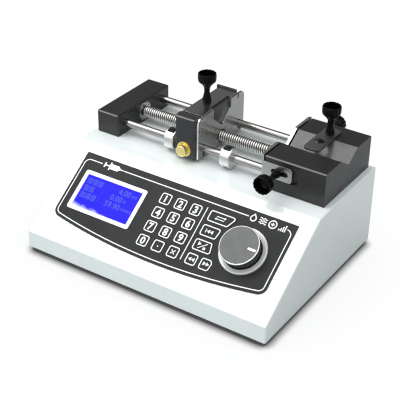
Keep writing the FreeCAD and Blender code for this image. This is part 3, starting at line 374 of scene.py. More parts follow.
def anodised_black(name="anodised_black", color=(0.0165, 0.0152, 0.0158)):
    """Bead-blasted black aluminium, with painted highlights on its rounded front edges, a painted
    sheen on its vee slopes, and lighter edges that are partly rubbed and partly a painted highlight.
    """
    block = Surface(name, color, 0.33, Specular_IOR_Level=0.5)
    block.vary(18 * MM, 0.15)
    # Painted sheen: faces tilted like the vee's far wall get a lighter colour, standing in for a
    # reflection of the overhead light.
    painted_vee_sheen = block.facing((0, -0.50, 0.86), 0.97, 0.99)
    block.tint(painted_vee_sheen, (0.070, 0.069, 0.068))
    # Painted highlight: the rounded front edges, which face forward and up, get a much lighter
    # colour.
    painted_round_highlight = block.facing((0, -0.88, 0.47), 0.90, 0.975)
    block.tint(painted_round_highlight, (0.19, 0.187, 0.184))
    block.soft_edges(0.5 * MM)
    block.scuff(9 * MM, 0.03)
    # Lighter patches along the edges: rubbed edges, and a painted edge highlight as well.
    block.rubbed_and_lit_edges((0.16, 0.158, 0.156), 0.5 * MM, 0.7)
    return block.grain(0.30 * MM, 0.004 * MM)


def brushed_metal(name, color, roughness, stretch, depth=0.0006 * MM):
    """Brushed sheet or bar: fine scratches drawn out along one direction."""
    metal = Surface(name, color, roughness, 1.0)
    metal.vary(14 * MM, 0.05, stretch)
    metal.soft_edges(0.3 * MM)
    metal.scuff(3 * MM, 0.02, stretch)
    return metal.grain(0.35 * MM, depth, stretch)


def moulded(name, color, roughness, grain=0.5 * MM, depth=0.008 * MM, specular=0.5):
    """Moulded plastic or rubber with a fine eroded texture."""
    plastic = Surface(name, color, roughness, Specular_IOR_Level=specular)
    plastic.vary(7 * MM, 0.18)
    plastic.scuff(4 * MM, 0.06)
    return plastic.grain(grain, depth)


def printed_ink():
    """White screen print, slightly uneven."""
    ink = Surface("printed_ink", (0.86, 0.87, 0.87), 0.45)
    ink.vary(2.5 * MM, 0.06)
    return ink.grain(0.3 * MM, 0.004 * MM)


def panel_film():
    """Dark satin polycarbonate film with a fine pebbled surface."""
    film = Surface("panel_film", (0.024, 0.024, 0.025), 0.42, Specular_IOR_Level=0.12)
    film.vary(30 * MM, 0.2)
    film.scuff(12 * MM, 0.04)
    return film.grain(0.45 * MM, 0.006 * MM)


def turned_metal(name, color, roughness, axis_scale=(1, 1, 1), depth=0.0004 * MM, metallic=1.0):
    """Lathe-turned metal with faint tool rings."""
    metal = Surface(name, color, roughness, metallic)
    metal.vary(6 * MM, 0.04)
    metal.scuff(3 * MM, 0.015)
    return metal.grain(0.4 * MM, depth, axis_scale)


def rolled_thread():
    """Bright crests and dark valleys, by the distance from the screw's axis; the dark valleys are
    painted shade.
    """
    thread = turned_metal("rolled_thread", (0.86, 0.84, 0.81), 0.26)
    # Painted shade: the thread's valleys, nearer the axis, are made dark.
    valley = thread.off_axis(centre("lead_screw"), (1, 0, 0), SCREW_RADIUS - 0.7 * MM,
                             SCREW_RADIUS - 0.1 * MM)
    return thread.tint(valley, (0.11, 0.105, 0.10))


paint = casing_paint().material
block_black = anodised_black().material
carriage_black = anodised_black("carriage_black", (0.024, 0.0235, 0.024)).material
sheet = brushed_metal("dark_nickel_sheet", (0.42, 0.412, 0.40), 0.25, (1, 1, 6))
plunger_plate_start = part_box("plunger_bracket")[1].x - 2.3 * MM
# Painted highlight: the plunger plate's thin front and rear edges are made nearly white.
sheet_metal = sheet.painted_cut_highlight((0.92, 0.91, 0.94), plunger_plate_start).material
bracket_metal = brushed_metal("nickel_bracket", (0.52, 0.515, 0.50), 0.30, (4, 4, 1),
                              depth=0.0002 * MM).material
clamp_metal = brushed_metal("clamp_sheet", (0.25, 0.246, 0.24), 0.38, (1, 6, 1)).material
zinc_sheet = brushed_metal("zinc_sheet", (0.48, 0.49, 0.50), 0.35, (6, 1, 1)).material
rod_metal = turned_metal("ground_rod", (0.36, 0.35, 0.335), 0.20, (4, 1, 1), 0.0001 * MM).material
screw_metal = rolled_thread().material
steel = turned_metal("plain_steel", (0.50, 0.50, 0.49), 0.28).material
collar_metal = turned_metal("collar_aluminium", (0.74, 0.745, 0.75), 0.30, (5, 1, 1)).material
brass = turned_metal("turned_brass", (1.0, 0.85, 0.38), 0.33).material
bronze = turned_metal("sintered_bronze", (0.55, 0.36, 0.17), 0.42, depth=0.02 * MM).material
ring_metal = turned_metal("satin_ring", (0.84, 0.84, 0.84), 0.26, metallic=0.35).material
chrome = turned_metal("bright_trim", (0.88, 0.88, 0.88), 0.12).material
black_steel = turned_metal("black_steel", (0.16, 0.16, 0.16), 0.30).material
film = panel_film().material
ink = printed_ink().material
nylon = moulded("black_nylon", (0.0020, 0.0020, 0.0022), 0.28, specular=0.13).material
rubber = moulded("black_rubber", (0.010, 0.010, 0.010), 0.62).material
acetal = moulded("white_acetal", (0.72, 0.70, 0.64), 0.38).material
bezel_plastic = moulded("bezel_plastic", (0.86, 0.87, 0.87), 0.25, 0.9 * MM, 0.003 * MM).material
lacquer = moulded("motor_lacquer", (0.015, 0.015, 0.016), 0.30).material
board_green = moulded("circuit_board", (0.02, 0.16, 0.07), 0.40).material

NODE_SURFACES = {
    "housing_shell": paint, "base_plate": zinc_sheet, "rubber_feet": rubber,
    "machine_screws": steel, "control_panel": film, "display_bezel": bezel_plastic,
    "display_module": lacquer, "encoder_shaft": steel, "control_board": board_green,
    "power_supply": zinc_sheet, "power_inlet": nylon, "power_rocker": nylon,
    "stepper_motor": lacquer, "motor_bracket": zinc_sheet, "motor_pulley": collar_metal,
    "drive_belt": rubber, "screw_pulley": collar_metal, "lead_screw": screw_metal,
    "screw_bearings": steel, "guide_rods": rod_metal, "left_end_block": block_black,
    "right_end_block": block_black, "barrel_bracket": bracket_metal, "clamp_plate": clamp_metal,
    "clamp_stud": steel, "clamp_knob": nylon, "front_thumbscrew": nylon,
    "rear_thumbscrew": nylon, "plunger_thumbscrew": nylon, "carriage_body": carriage_black,
    "rod_bushes": bronze, "plunger_bracket": sheet_metal, "release_button": brass,
    "release_bushing": brass, "half_nut": acetal, "return_spring": steel,
    "left_stop_collar": collar_metal, "right_stop_collar": collar_metal,
    "left_collar_screw": black_steel, "right_collar_screw": black_steel, "rotary_knob": rubber,
    "knob_cap": chrome, "knob_ring": chrome,
}


def finish_cad_nodes():
    """Gives each CAD node its surface; the keys are of the same film as the panel."""
    for name, thing in frame["nodes"].items():
        surface = NODE_SURFACES.get(name, film)
        thing.data.materials.clear()
        thing.data.materials.append(surface)


# Thumbscrews

THUMB_HEIGHT = 30.5 * MM
SEAT_GAP = 0.06
FLUTES = 14


def thumb_profile():
    """From the base collar, just clear of its seat, over the slim neck to the hollow head."""
    outline = [(0.0, SEAT_GAP), (4.1, SEAT_GAP), (4.4, SEAT_GAP + 0.3), (4.4, 2.3), (4.1, 4.4),
               (3.6, 6.4), (3.1, 8.5), (2.85, 11.0), (3.0, 13.6), (3.5, 15.6), (4.5, 17.4),
               (6.0, 19.2), (7.6, 20.7), (8.8, 22.0), (9.25, 23.4), (9.4, 25.0), (9.4, 29.2),
               (9.25, 30.1), (8.9, 30.5), (8.3, 30.5), (8.0, 30.1), (7.85, 28.6), (7.7, 25.4),
               (6.9, 22.6), (5.0, 20.9), (0.0, 20.4)]
    return [(radius * MM, height * MM) for radius, height in outline]


def fluted(radius, height, angle):
    """Shallow flutes on the outside of the head, which fade out below it."""
    in_the_cup = radius < 8.85 * MM and height > 20.3 * MM
    if in_the_cup:
        return radius
    share = max(0.0, min(1.0, (height / MM - 20.0) / 3.5))
    valley = (0.5 - 0.5 * math.cos(FLUTES * angle)) ** 3
    return radius - 0.55 * MM * share * valley


def make_thumbscrew(name, node, seat, direction, stud_reach):
    """A knob standing on seat and pointing along direction, with its threaded stud below."""
    turn = Vector(direction).to_track_quat("Z", "Y").to_matrix().to_4x4()
    at = Matrix.Translation(seat) @ turn
    knob = lathe(name + "_head", thumb_profile(), 144, fluted, sharp=50)
    add_piece(name + "_head", knob, node, nylon, (node,), at)
    if stud_reach:
        stud = threaded_rod(name + "_stud", 2.5 * MM, 0.8 * MM, -stud_reach, 0.2 * MM, 24)
        add_piece(name + "_stud", stud, node, steel, (), at)


def threaded_rod(name, radius, pitch, low, high, segments, depth=0.6):
    """A right-hand thread along Z with plain flat ends."""
    work = bmesh.new()
    rows_per_pitch = 8
    count = max(2, int((high - low) / pitch * rows_per_pitch))
    rings = []
    for row in range(count + 1):
        z = low + (high - low) * row / count
        fade = min(1.0, (z - low) / pitch, (high - z) / pitch)
        ring = []
        for step in range(segments):
            angle = FULL_TURN * step / segments
            phase = (z / pitch - angle / FULL_TURN) % 1.0
            ridge = min(1.0, max(0.0, 1.6 - 4.0 * abs(phase - 0.5)))
            r = radius - depth * pitch * (1 - ridge * max(0.0, fade))
            ring.append(work.verts.new((r * math.cos(angle), r * math.sin(angle), z)))
        rings.append(ring)
    work.faces.new(rings[0][::-1])
    work.faces.new(rings[-1])
    skin(work, rings)
    return to_mesh(work, name, 60)


def make_thumbscrews():
    """Each outer end is where the CAD's is; the clamp's knob stands on its CAD base."""
    seat = centre("plunger_thumbscrew")
    seat.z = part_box("plunger_thumbscrew")[1].z - THUMB_HEIGHT
    make_thumbscrew("plunger_screw", "plunger_thumbscrew", seat, (0, 0, 1), 14 * MM)
    seat = centre("front_thumbscrew")
    seat.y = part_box("front_thumbscrew")[0].y + THUMB_HEIGHT
    make_thumbscrew("front_screw", "front_thumbscrew", seat, (0, -1, 0), 15 * MM)
    seat = centre("rear_thumbscrew")
    seat.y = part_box("rear_thumbscrew")[1].y - THUMB_HEIGHT
    make_thumbscrew("rear_screw", "rear_thumbscrew", seat, (0, 1, 0), 15 * MM)
    seat = centre("clamp_knob")
    seat.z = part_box("clamp_knob")[0].z
    make_thumbscrew("clamp_screw", "clamp_knob", seat, (0, 0, 1), 0)


# Lead screw, brass button and other turned pieces

ALONG_X = Vector((1, 0, 0)).to_track_quat("Z", "Y").to_matrix().to_4x4()
ALONG_Y = Vector((0, 1, 0)).to_track_quat("Z", "X").to_matrix().to_4x4()


def make_lead_screw():
    """A right-hand helix between two plain journals."""
    low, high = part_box("lead_screw")
    middle = centre("lead_screw")
    left_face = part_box("left_end_block")[1].x + 1.6 * MM
    right_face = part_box("right_end_block")[0].x - 0.3 * MM
    at = Matrix.Translation((0, middle.y, middle.z)) @ ALONG_X
    thread = threaded_rod("lead_screw_thread", SCREW_RADIUS, SCREW_PITCH, left_face, right_face,
                          48, 0.4)
    add_piece("lead_screw_thread", thread, "screw", screw_metal, ("lead_screw",), at)
    radius = 4 * MM
    edge = 0.4 * MM
    for name, start, end in (("lead_screw_left_journal", low.x, left_face),
                             ("lead_screw_right_journal", right_face, high.x)):
        profile = [(0, start), (radius - edge, start), (radius, start + edge),
                   (radius, end - edge), (radius - edge, end), (0, end)]
        add_piece(name, lathe(name, profile, 48), "screw", steel, (), at)


def make_release_button():
    """Brass button with a slightly raised face, in a brass ring with a rolled lip."""
    low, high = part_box("release_button")
    middle = centre("release_button")
    at = Matrix.Translation((middle.x, 0, middle.z)) @ ALONG_Y
    face = low.y
    button = [(0, face + 0.05 * MM), (5.0 * MM, face), (5.6 * MM, face + 0.12 * MM),
              (6 * MM, face + 0.6 * MM), (6 * MM, high.y), (0, high.y)]
    add_piece("release_button_cap", lathe("release_button_cap", button, 72), "release",
              brass, ("release_button",), at)
    low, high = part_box("release_bushing")
    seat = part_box("carriage_body")[0].y
    rim = [(6.06 * MM, high.y), (7 * MM, high.y), (7 * MM, seat), (7.7 * MM, seat),
           (8 * MM, seat - 0.2 * MM), (7.9 * MM, low.y + 0.1 * MM), (7.5 * MM, low.y),
           (7.1 * MM, low.y + 0.15 * MM), (6.6 * MM, low.y + 0.75 * MM),
           (6.06 * MM, low.y + 1.0 * MM)]
    add_piece("release_bushing_ring", lathe("release_bushing_ring", rim, 72, closed=True),
              "carriage", brass, ("release_bushing",), at)


def make_spring():
    """Coil behind the half nut."""
    low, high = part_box("return_spring")
    middle = centre("return_spring")
    wire = 0.45 * MM
    turns = 5
    steps = 24
    sides = 8
    radius = (high.x - low.x) / 2 - wire
    work = bmesh.new()
    rings = []
    for step in range(turns * steps + 1):
        angle = FULL_TURN * step / steps
        y = low.y + wire + (high.y - low.y - 2 * wire) * step / (turns * steps)
        arm = Vector((math.cos(angle), 0, math.sin(angle)))
        core = Vector((middle.x, y, middle.z)) + arm * radius
        ring = []
        for side in range(sides):
            lean = FULL_TURN * side / sides
            ring.append(work.verts.new(core + arm * wire * math.cos(lean)
                                       + Vector((0, wire * math.sin(lean), 0))))
        rings.append(ring)
    skin(work, rings)
    work.faces.new(rings[0][::-1])
    work.faces.new(rings[-1])
    coil = add_piece("return_spring_coil", to_mesh(work, "return_spring_coil"), "carriage",
                     steel, ("return_spring",))
    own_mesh(coil)


# Control face: everything here is placed in slope coordinates (across, up, outwards)

PRESS = Vector(joints["key_5_press"]["axis"])
OUTWARD = -PRESS
UPWARD = Vector((0, OUTWARD.z, -OUTWARD.y))
PANEL_LOW = 16.2 * MM
PANEL_THICKNESS = 1.0 * MM
PRINT_HEIGHT = 0.06 * MM


def slope_frame():
    """Slope coordinates to the frame: x across, y up the slope from the nose, z outwards."""
    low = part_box("control_panel")[0]
    on_slope = Vector((0, low.y, low.z)) - OUTWARD.y * Vector((0, PANEL_THICKNESS, 0))
    origin = on_slope - UPWARD * PANEL_LOW
    turned = Matrix((Vector((1, 0, 0)), UPWARD, OUTWARD)).transposed().to_4x4()
    return Matrix.Translation(origin) @ turned


SLOPE = slope_frame()
TO_SLOPE = SLOPE.inverted()


def on_slope_box(node):
    """A node's lowest and highest corners in slope coordinates."""
    points = [TO_SLOPE @ v.co for v in frame["nodes"][node].data.vertices]
    low = Vector([min(p[i] for p in points) for i in range(3)])
    high = Vector([max(p[i] for p in points) for i in range(3)])
    return low, high


def flat_piece(name, work, body, surface):
    """Finishes a bmesh drawn in slope coordinates as a piece on a body."""
    add_piece(name, to_mesh(work, name), body, surface, (), SLOPE)


def make_panel_print():
    """White border line, open where the top edge carries its two groups of signs."""
    high = on_slope_box("control_panel")[1]
    base = high.z
    top = base + PRINT_HEIGHT
    line = 1.0 * MM
    side = high.x - 3.0 * MM
    ceiling = 93.9 * MM
    sag = 11.0 * MM
    radius = (high.x * high.x + sag * sag) / (2 * sag)
    arc_middle = PANEL_LOW + radius
    inner = radius - 3.3 * MM
    left_gap = (-101.0 * MM, -73.5 * MM)
    right_gap = (73.5 * MM, 115.5 * MM)
    corner = 5.5 * MM
    steps = 48
    across = [-side + 2 * side * step / steps for step in range(steps + 1)]
    bottom = [Vector((x, arc_middle - math.sqrt(inner * inner - x * x))) for x in across]
    outline = [Vector((-side, ceiling)), *bottom, Vector((side, ceiling))]
    rounded_at = {0: corner, 1: corner, steps + 1: corner, steps + 2: corner}
    smooth = soften_corners(outline, rounded_at)
    path = [Vector((left_gap[0], ceiling)), *smooth, Vector((right_gap[1], ceiling))]
    work = bmesh.new()
    stroke(work, path, line, base, top)
    stroke(work, [(left_gap[1], ceiling), (right_gap[0], ceiling)], line, base, top)
    divider = on_slope_box("key_3")[1].x + 4.55 * MM
    stroke(work, [(divider, 29.9 * MM), (divider, 88.3 * MM)], 0.9 * MM, base, top)
    make_syringe_sign(work, left_gap[0] + 2.4 * MM, ceiling, base, top)
    make_flow_signs(work, right_gap, ceiling, base, top)
    flat_piece("panel_print", work, "frame", ink)


def soften_corners(points, radii):
    """An open path whose listed corners are turned into arcs."""
    path = []
    for index, corner in enumerate(points):
        radius = radii.get(index)
        if radius is None:
            if all((corner - points[i]).length > radii[i] * 1.3 for i in radii):
                path.append(corner)
            continue
        before = points[index - 1] if index else corner + Vector((1, 0))
        after = points[index + 1] if index < len(points) - 1 else corner - Vector((1, 0))
        back = (before - corner).normalized()
        ahead = (after - corner).normalized()
        path += corner_arc(corner, back, ahead, radius, radius * 4, 8)
    return path


def box_outline(left, right, low, high):
    return [(left, low), (right, low), (right, high), (left, high)]


def make_syringe_sign(work, x, middle, base, top):
    """A lying syringe: thumb rest, rod, flange, barrel, tip and needle."""
    parts = ((0.0, 1.7, 2.8), (1.7, 6.4, 0.75), (6.4, 8.0, 4.4), (8.0, 18.0, 2.9),
             (18.0, 20.0, 1.3), (20.0, 24.2, 0.5))
    for start, end, half in parts:
        outline = box_outline(x + start * MM, x + end * MM, middle - half * MM, middle + half * MM)
        plate_into(work, outline, base, top)


def make_flow_signs(work, gap, middle, base, top):
    """Four plain pictograms: a drop, waves, a ringed cross and rising bars."""
    pen = 1.15 * MM
    size = 3.9 * MM
    width = (gap[1] - gap[0]) / 4
    drop, waves, ring, bars = (gap[0] + width * (index + 0.5) for index in range(4))

    outline = arc(drop, middle - 0.6 * MM, size * 0.72, 150, 240, 16)
    stroke(work, [*outline, (drop, middle + size)], pen, base, top, closed=True)

    for row in (-2.4, 0.0, 2.4):
        wave = [(waves - size + 2 * size * s / 16,
                 middle + row * MM + 0.6 * MM * math.sin(FULL_TURN * s / 8)) for s in range(17)]
        stroke(work, wave, pen * 0.85, base, top)

    stroke(work, arc(ring, middle, size, 0, 360, 24)[:-1], pen, base, top, closed=True)
    reach = 1.9 * MM
    clear = 0.53 * MM
    stroke(work, [(ring, middle - reach), (ring, middle + reach)], pen, base, top)
    stroke(work, [(ring - reach, middle), (ring - clear, middle)], pen, base, top)
    stroke(work, [(ring + clear, middle), (ring + reach, middle)], pen, base, top)

    foot = middle - size * 0.9
    for step, height in enumerate((1.8, 3.4, 5.2, 7.0)):
        bar = bars - size + (1.0 + step * 2.0) * MM
        stroke(work, [(bar, foot), (bar, foot + height * MM)], pen, base, top)


KEY_RADIUS = 2.4 * MM
RING_WIDTH = 1.05 * MM


def key_outline(node):
    """A key's sharp-cornered outline, from its own top face; four keys have slanting sides."""
    low, high = on_slope_box(node)
    if node == "key_mode":
        return [(low.x, low.y), (high.x - 6.2 * MM, low.y), (high.x, high.y), (low.x, high.y)]
    if node == "key_return":
        return [(low.x, low.y), (high.x - 1.8 * MM, low.y), (high.x, high.y), (low.x, high.y)]
    if node == "key_run_stop":
        return [(low.x, low.y), (high.x, low.y), (high.x - 2.8 * MM, high.y), (low.x, high.y)]
    if node == "key_forward":
        return [(low.x, low.y), (high.x - 1.4 * MM, low.y), (high.x, high.y - 3.2 * MM),
                (high.x - 2.4 * MM, high.y), (low.x, high.y)]
    return box_outline(low.x, high.x, low.y, high.y)


def inset(points, distance):
    """A convex outline moved inwards by the same distance on every side."""
    count = len(points)
    moved = []
    for index in range(count):
        corner = Vector(points[index])
        back = (Vector(points[index - 1]) - corner).normalized()
        ahead = (Vector(points[(index + 1) % count]) - corner).normalized()
        half = math.acos(max(-1, min(1, back.dot(ahead)))) / 2
        moved.append(corner + (back + ahead).normalized() * distance / math.sin(half))
    return moved


def triangle(work, x, y, size, direction, base, top):
    """A solid arrowhead pointing left (-1) or right (+1)."""
    points = [(x - direction * size * 0.5, y - size * 0.62), (x + direction * size * 0.5, y),
              (x - direction * size * 0.5, y + size * 0.62)]
    plate_into(work, points, base, top)


ARROWS = {"key_return": ((-1.6, -1), (1.9, -1)), "key_back": ((-1.9, -1), (1.6, -1)),
          "key_forward": ((-1.8, 1), (1.7, 1))}


def key_icon(work, node, x, y, base, top):
    """Plain signs of the function keys, around the key's middle."""
    size = 3.3 * MM
    pen = 0.9 * MM

    def line(x1, y1, x2, y2, width):
        stroke(work, [(x + x1 * MM, y + y1 * MM), (x + x2 * MM, y + y2 * MM)], width, base, top)

    if node == "key_return":
        line(-4.3, -2.0, -4.3, 2.0, pen)
    for place, direction in ARROWS.get(node, ()):
        triangle(work, x + place * MM, y, size, direction, base, top)
    if node == "key_run_stop":
        triangle(work, x - 3.6 * MM, y + 1.5 * MM, size * 1.05, 1, base, top)
        line(-4.2, -3.4, 4.2, 3.4, 0.8 * MM)
        square = box_outline(x + 1.3 * MM, x + 3.9 * MM, y - 3.3 * MM, y - 0.7 * MM)
        plate_into(work, square, base, top)
    elif node == "key_mode":
        for sign in (-1, 1):
            line(-4.6, sign * 1.3, 4.6, sign * 1.3, 0.75 * MM)
            triangle(work, x + sign * 4.9 * MM, y + sign * 1.3 * MM, 2.3 * MM, sign, base, top)
    elif node == "key_clear":
        for sign in (-1, 1):
            line(-2.2, -sign * 2.2, 2.2, sign * 2.2, pen)
    elif node == "key_point":
        plate_into(work, arc(x, y - 0.2 * MM, 0.75 * MM, 0, 360, 16)[:-1], base, top)


def digit_mesh(name, text, size, thickness, bold):
    """A printed figure as a closed mesh, centred on its own origin."""
    curve = bpy.data.curves.new(name, "FONT")
    curve.body = text
    curve.size = size
    curve.offset = bold
    curve.extrude = thickness / 2
    curve.align_x = "CENTER"
    curve.align_y = "CENTER"
    curve.resolution_u = 4
    carrier = bpy.data.objects.new(name, curve)
    bpy.context.scene.collection.objects.link(carrier)
    bpy.context.view_layer.update()
    mesh = bpy.data.meshes.new_from_object(carrier)
    bpy.data.objects.remove(carrier)
    mesh.materials.clear()
    low = [min(v.co[i] for v in mesh.vertices) for i in range(2)]
    high = [max(v.co[i] for v in mesh.vertices) for i in range(2)]
    mesh.transform(Matrix.Translation((-(low[0] + high[0]) / 2, -(low[1] + high[1]) / 2, 0)))
    return mesh


def make_keys():
    """A printed ring and a sign or a figure on each key."""
    for node in sorted(n for n in frame["nodes"] if n.startswith("key_")):
        base = on_slope_box(node)[1].z
        top = base + PRINT_HEIGHT
        outline = key_outline(node)
        work = bmesh.new()
        path = rounded(inset(outline, RING_WIDTH / 2), KEY_RADIUS - RING_WIDTH / 2)
        stroke(work, path, RING_WIDTH, base, top, closed=True)
        middle = sum((Vector(p) for p in outline), Vector((0, 0))) / len(outline)
        key_icon(work, node, middle.x, middle.y, base, top)
        flat_piece(node + "_print", work, node, ink)
        figure = node.split("_")[-1]
        if figure.isdigit():
            mesh = digit_mesh(node + "_figure", figure, 10.2 * MM, PRINT_HEIGHT, 0.30 * MM)
            at = SLOPE @ Matrix.Translation((middle.x, middle.y, base + PRINT_HEIGHT / 2))
            add_piece(node + "_figure", mesh, node, ink, (), at)


def display_glass(low):
    """Backlit blue liquid crystal with a wispy painted reflection along its lower left edge, whitened
    and glowing.
    """
    glass = Surface("display_glass", (0.004, 0.004, 0.20), 0.16, Specular_IOR_Level=0.03)
    glass.vary(30 * MM, 0.12)
    up = glass.node("ShaderNodeVectorMath", operation="DOT_PRODUCT")
    glass.join(glass.place, up.inputs[0])
    tilt = UPWARD + Vector((0.10, 0, 0))
    up.inputs[1].default_value = tilt
    corner = SLOPE @ Vector((*low, 0))
    height = glass.maths("SUBTRACT", up.outputs["Value"], tilt.dot(corner))
    # Painted reflection: a whitish wispy patch along the lower left edge, mixed into both the colour
    # and the glow.
    wisps = glass.maths("MULTIPLY", glass.noise(11 * MM, 4.0, (1, 0.7, 0.7)), 9 * MM)
    edge = glass.spread(glass.maths("ADD", height, wisps), 0.95, 0, 2.5 * MM, 9.5 * MM)
    edge = glass.maths("POWER", edge, 1.5)
    glass.tint(edge, (0.75, 0.78, 0.85))
    mix = glass.node("ShaderNodeMix", data_type="RGBA")
    mix.inputs[6].default_value = (0.026, 0.019, 1.0, 1)
    mix.inputs[7].default_value = (0.75, 0.75, 1.0, 1)
    glass.join(edge, mix.inputs["Factor"])
    glass.join(mix.outputs[2], glass.shader.inputs["Emission Color"])
    glass.shader.inputs["Emission Strength"].default_value = 0.95
    return glass


def display_segments():
    """The darker figures of the display."""
    segment = Surface("display_segments", (0.02, 0.025, 0.10), 0.4, Specular_IOR_Level=0.05)
    segment.vary(1.5 * MM, 0.2)
    segment.shader.inputs["Emission Color"].default_value = (0.085, 0.11, 0.56, 1)
    segment.shader.inputs["Emission Strength"].default_value = 0.95
    return segment


def display_label(work, x, y, size, base, top):
    """A small generic block sign, made of bars like a dot-matrix figure."""
    pen = size * 0.13
    half = size / 2
    for level in (-0.5, -0.15, 0.2, 0.5):
        stroke(work, [(x - half, y + level * size), (x + half, y + level * size)], pen, base, top)
    for side in (-0.42, 0.05, 0.42):
        stroke(work, [(x + side * size, y - half), (x + side * size, y + half)], pen, base, top)


def make_display():
    """The lit window with three rows: block signs, a colon, a figure and its unit's marks."""
    low, high = on_slope_box("display_bezel")
    border = 4.1 * MM
    left = low.x + border
    right = high.x - border
    ceiling = high.y - border
    base = on_slope_box("display_module")[1].z
    outline = box_outline(left, right, low.y + border, ceiling)
    window = prism("display_window", rounded(inset(outline, 0.2 * MM), 0.6 * MM, 3),
                   base, base + 0.25 * MM)
    add_piece("display_window", window, "frame", display_glass(outline[0]).material,
              (), SLOPE)
    segments = display_segments().material
    height = high.y - low.y - 2 * border
    thickness = 0.04 * MM
    printed = base + 0.27 * MM
    span = (printed - thickness / 2, printed + thickness / 2)
    colon = left + 25.0 * MM
    labels = bmesh.new()
    rows = (("4.00", 11.5, 2, 3), ("0.00", 17.5, 1, 2), ("59.90", 16.0, 4, 3))
    for row, (text, margin, marks, signs) in enumerate(rows):
        y = ceiling - height * (0.17 + 0.225 * row)
        mesh = digit_mesh(f"display_row_{row}", text, 8.6 * MM, thickness, 0.16 * MM)
        width = max(v.co.x for v in mesh.vertices)
        at = SLOPE @ Matrix.Translation((right - margin * MM - width, y, printed))
        add_piece(f"display_row_{row}", mesh, "frame", segments, (), at)
        for number in range(signs):
            display_label(labels, left + (5.5 + 6.7 * number) * MM, y, 5.4 * MM, *span)
        for dot in (-1.2, 1.2):
            stroke(labels, [(colon, y + (dot - 0.35) * MM), (colon, y + (dot + 0.35) * MM)],
                   0.7 * MM, *span)
        unit = right - (margin - 1.8) * MM
        for mark in range(marks):
            display_label(labels, unit + (1.2 + 3.4 * mark) * MM, y - 0.7 * MM, 2.6 * MM, *span)
    flat_piece("display_labels", labels, "frame", segments)


def make_rotary_knob():
    """Knurled grip, bright rim, satin face and the white pointer."""
    low, high = on_slope_box("knob_cap")
    middle = (low + high) / 2
    at = SLOPE @ Matrix.Translation((middle.x, middle.y, 0))
    grip_low, grip_high = (box.z for box in on_slope_box("rotary_knob"))
    radius = 17.4 * MM
    diamonds = 42
    tall = FULL_TURN * radius / diamonds
    bore = 3 * MM

    def knurl(r, height, angle):
        if r < radius - 0.3 * MM:
            return r
        around = diamonds * angle / FULL_TURN
        along = (height - grip_low) / tall
        left = abs((around + along) % 1.0 - 0.5)
        right = abs((around - along) % 1.0 - 0.5)
        return r - 1.0 * MM * max(0.0, 1.0 - 3.6 * min(left, right))

    rows = 48
    profile = [(bore, grip_low), (radius - 0.5 * MM, grip_low)]
    profile += [(radius, grip_low + (grip_high - grip_low) * row / rows) for row in range(1, rows)]
    profile += [(radius - 0.5 * MM, grip_high), (bore, grip_high)]
    grip = lathe("rotary_grip", profile, 460, knurl, sharp=60, closed=True)
    grip_finish = moulded("grip_rubber", (0.16, 0.16, 0.16), 0.40, specular=0.4)
    # Painted shade: the knurl's grooves, nearer the axis, are made nearly black.
    painted_groove_shade = grip_finish.off_axis(at.translation, OUTWARD, radius - 0.35 * MM, radius - 0.05 * MM)
    grip_finish.tint(painted_groove_shade, (0.003, 0.003, 0.003))
    add_piece("rotary_grip", grip, "jog_knob", grip_finish.material, ("rotary_knob",), at)
    outer = (high.x - low.x) / 2
    inner = outer - 0.85 * MM
    rim = [(inner, low.z), (outer - 0.3 * MM, low.z), (outer, low.z + 0.4 * MM),
           (outer, high.z - 0.6 * MM), (outer - 0.2 * MM, high.z - 0.15 * MM),
           (outer - 0.45 * MM, high.z), (inner, high.z - 0.1 * MM)]
    add_piece("knob_rim", lathe("knob_rim", rim, 128, closed=True), "jog_knob",
              chrome, ("knob_cap",), at)
    face_top = high.z - 0.2 * MM
    inner -= 0.02 * MM
    face = [(0, low.z), (inner, low.z), (inner, face_top - 0.1 * MM),
            (inner - 0.1 * MM, face_top), (0, face_top)]
    add_piece("knob_face", lathe("knob_face", face, 128), "jog_knob",
              knob_face_surface().material, (), at)
    bar = rounded(box_outline(9.3 * MM, 18.2 * MM, -1.2 * MM, 1.2 * MM), 1.1 * MM)
    pointer = prism("knob_pointer", bar, face_top, face_top + 0.3 * MM, 0.1 * MM)
    add_piece("knob_pointer", pointer, "jog_knob", ink, (), at)
    low, high = on_slope_box("knob_ring")
    outer = (high.x - low.x) / 2
    inner = 19.2 * MM
    ring = [(inner, low.z), (outer, low.z), (outer, high.z - 0.9 * MM),
            (outer - 0.25 * MM, high.z - 0.3 * MM), (outer - 0.7 * MM, high.z),
            (outer - 1.2 * MM, high.z - 0.1 * MM), (inner + 0.2 * MM, high.z - 0.9 * MM),
            (inner, high.z - 1.3 * MM)]
    add_piece("knob_base_ring", lathe("knob_base_ring", ring, 128, closed=True), "frame",
              ring_metal, ("knob_ring",), at)


def knob_face_surface():
    """Satin grey face with a faint check of 10 mm squares."""
    face = Surface("knob_face", (0.140, 0.140, 0.140), 0.45, Specular_IOR_Level=0.15)
    flat = face.node("ShaderNodeMapping")
    flat.inputs["Rotation"].default_value = (-math.atan2(UPWARD.z, UPWARD.y), 0, 0)
    face.join(face.place, flat.inputs["Vector"])
    check = face.node("ShaderNodeTexChecker")
    check.inputs["Scale"].default_value = 1 / (10.0 * MM)
    face.join(flat.outputs["Vector"], check.inputs["Vector"])
    face.tint(face.maths("MULTIPLY", check.outputs["Fac"], 0.25), (0.175, 0.175, 0.175))
    face.scuff(8 * MM, 0.05)
    return face.grain(0.25 * MM, 0.003 * MM)


# Studio

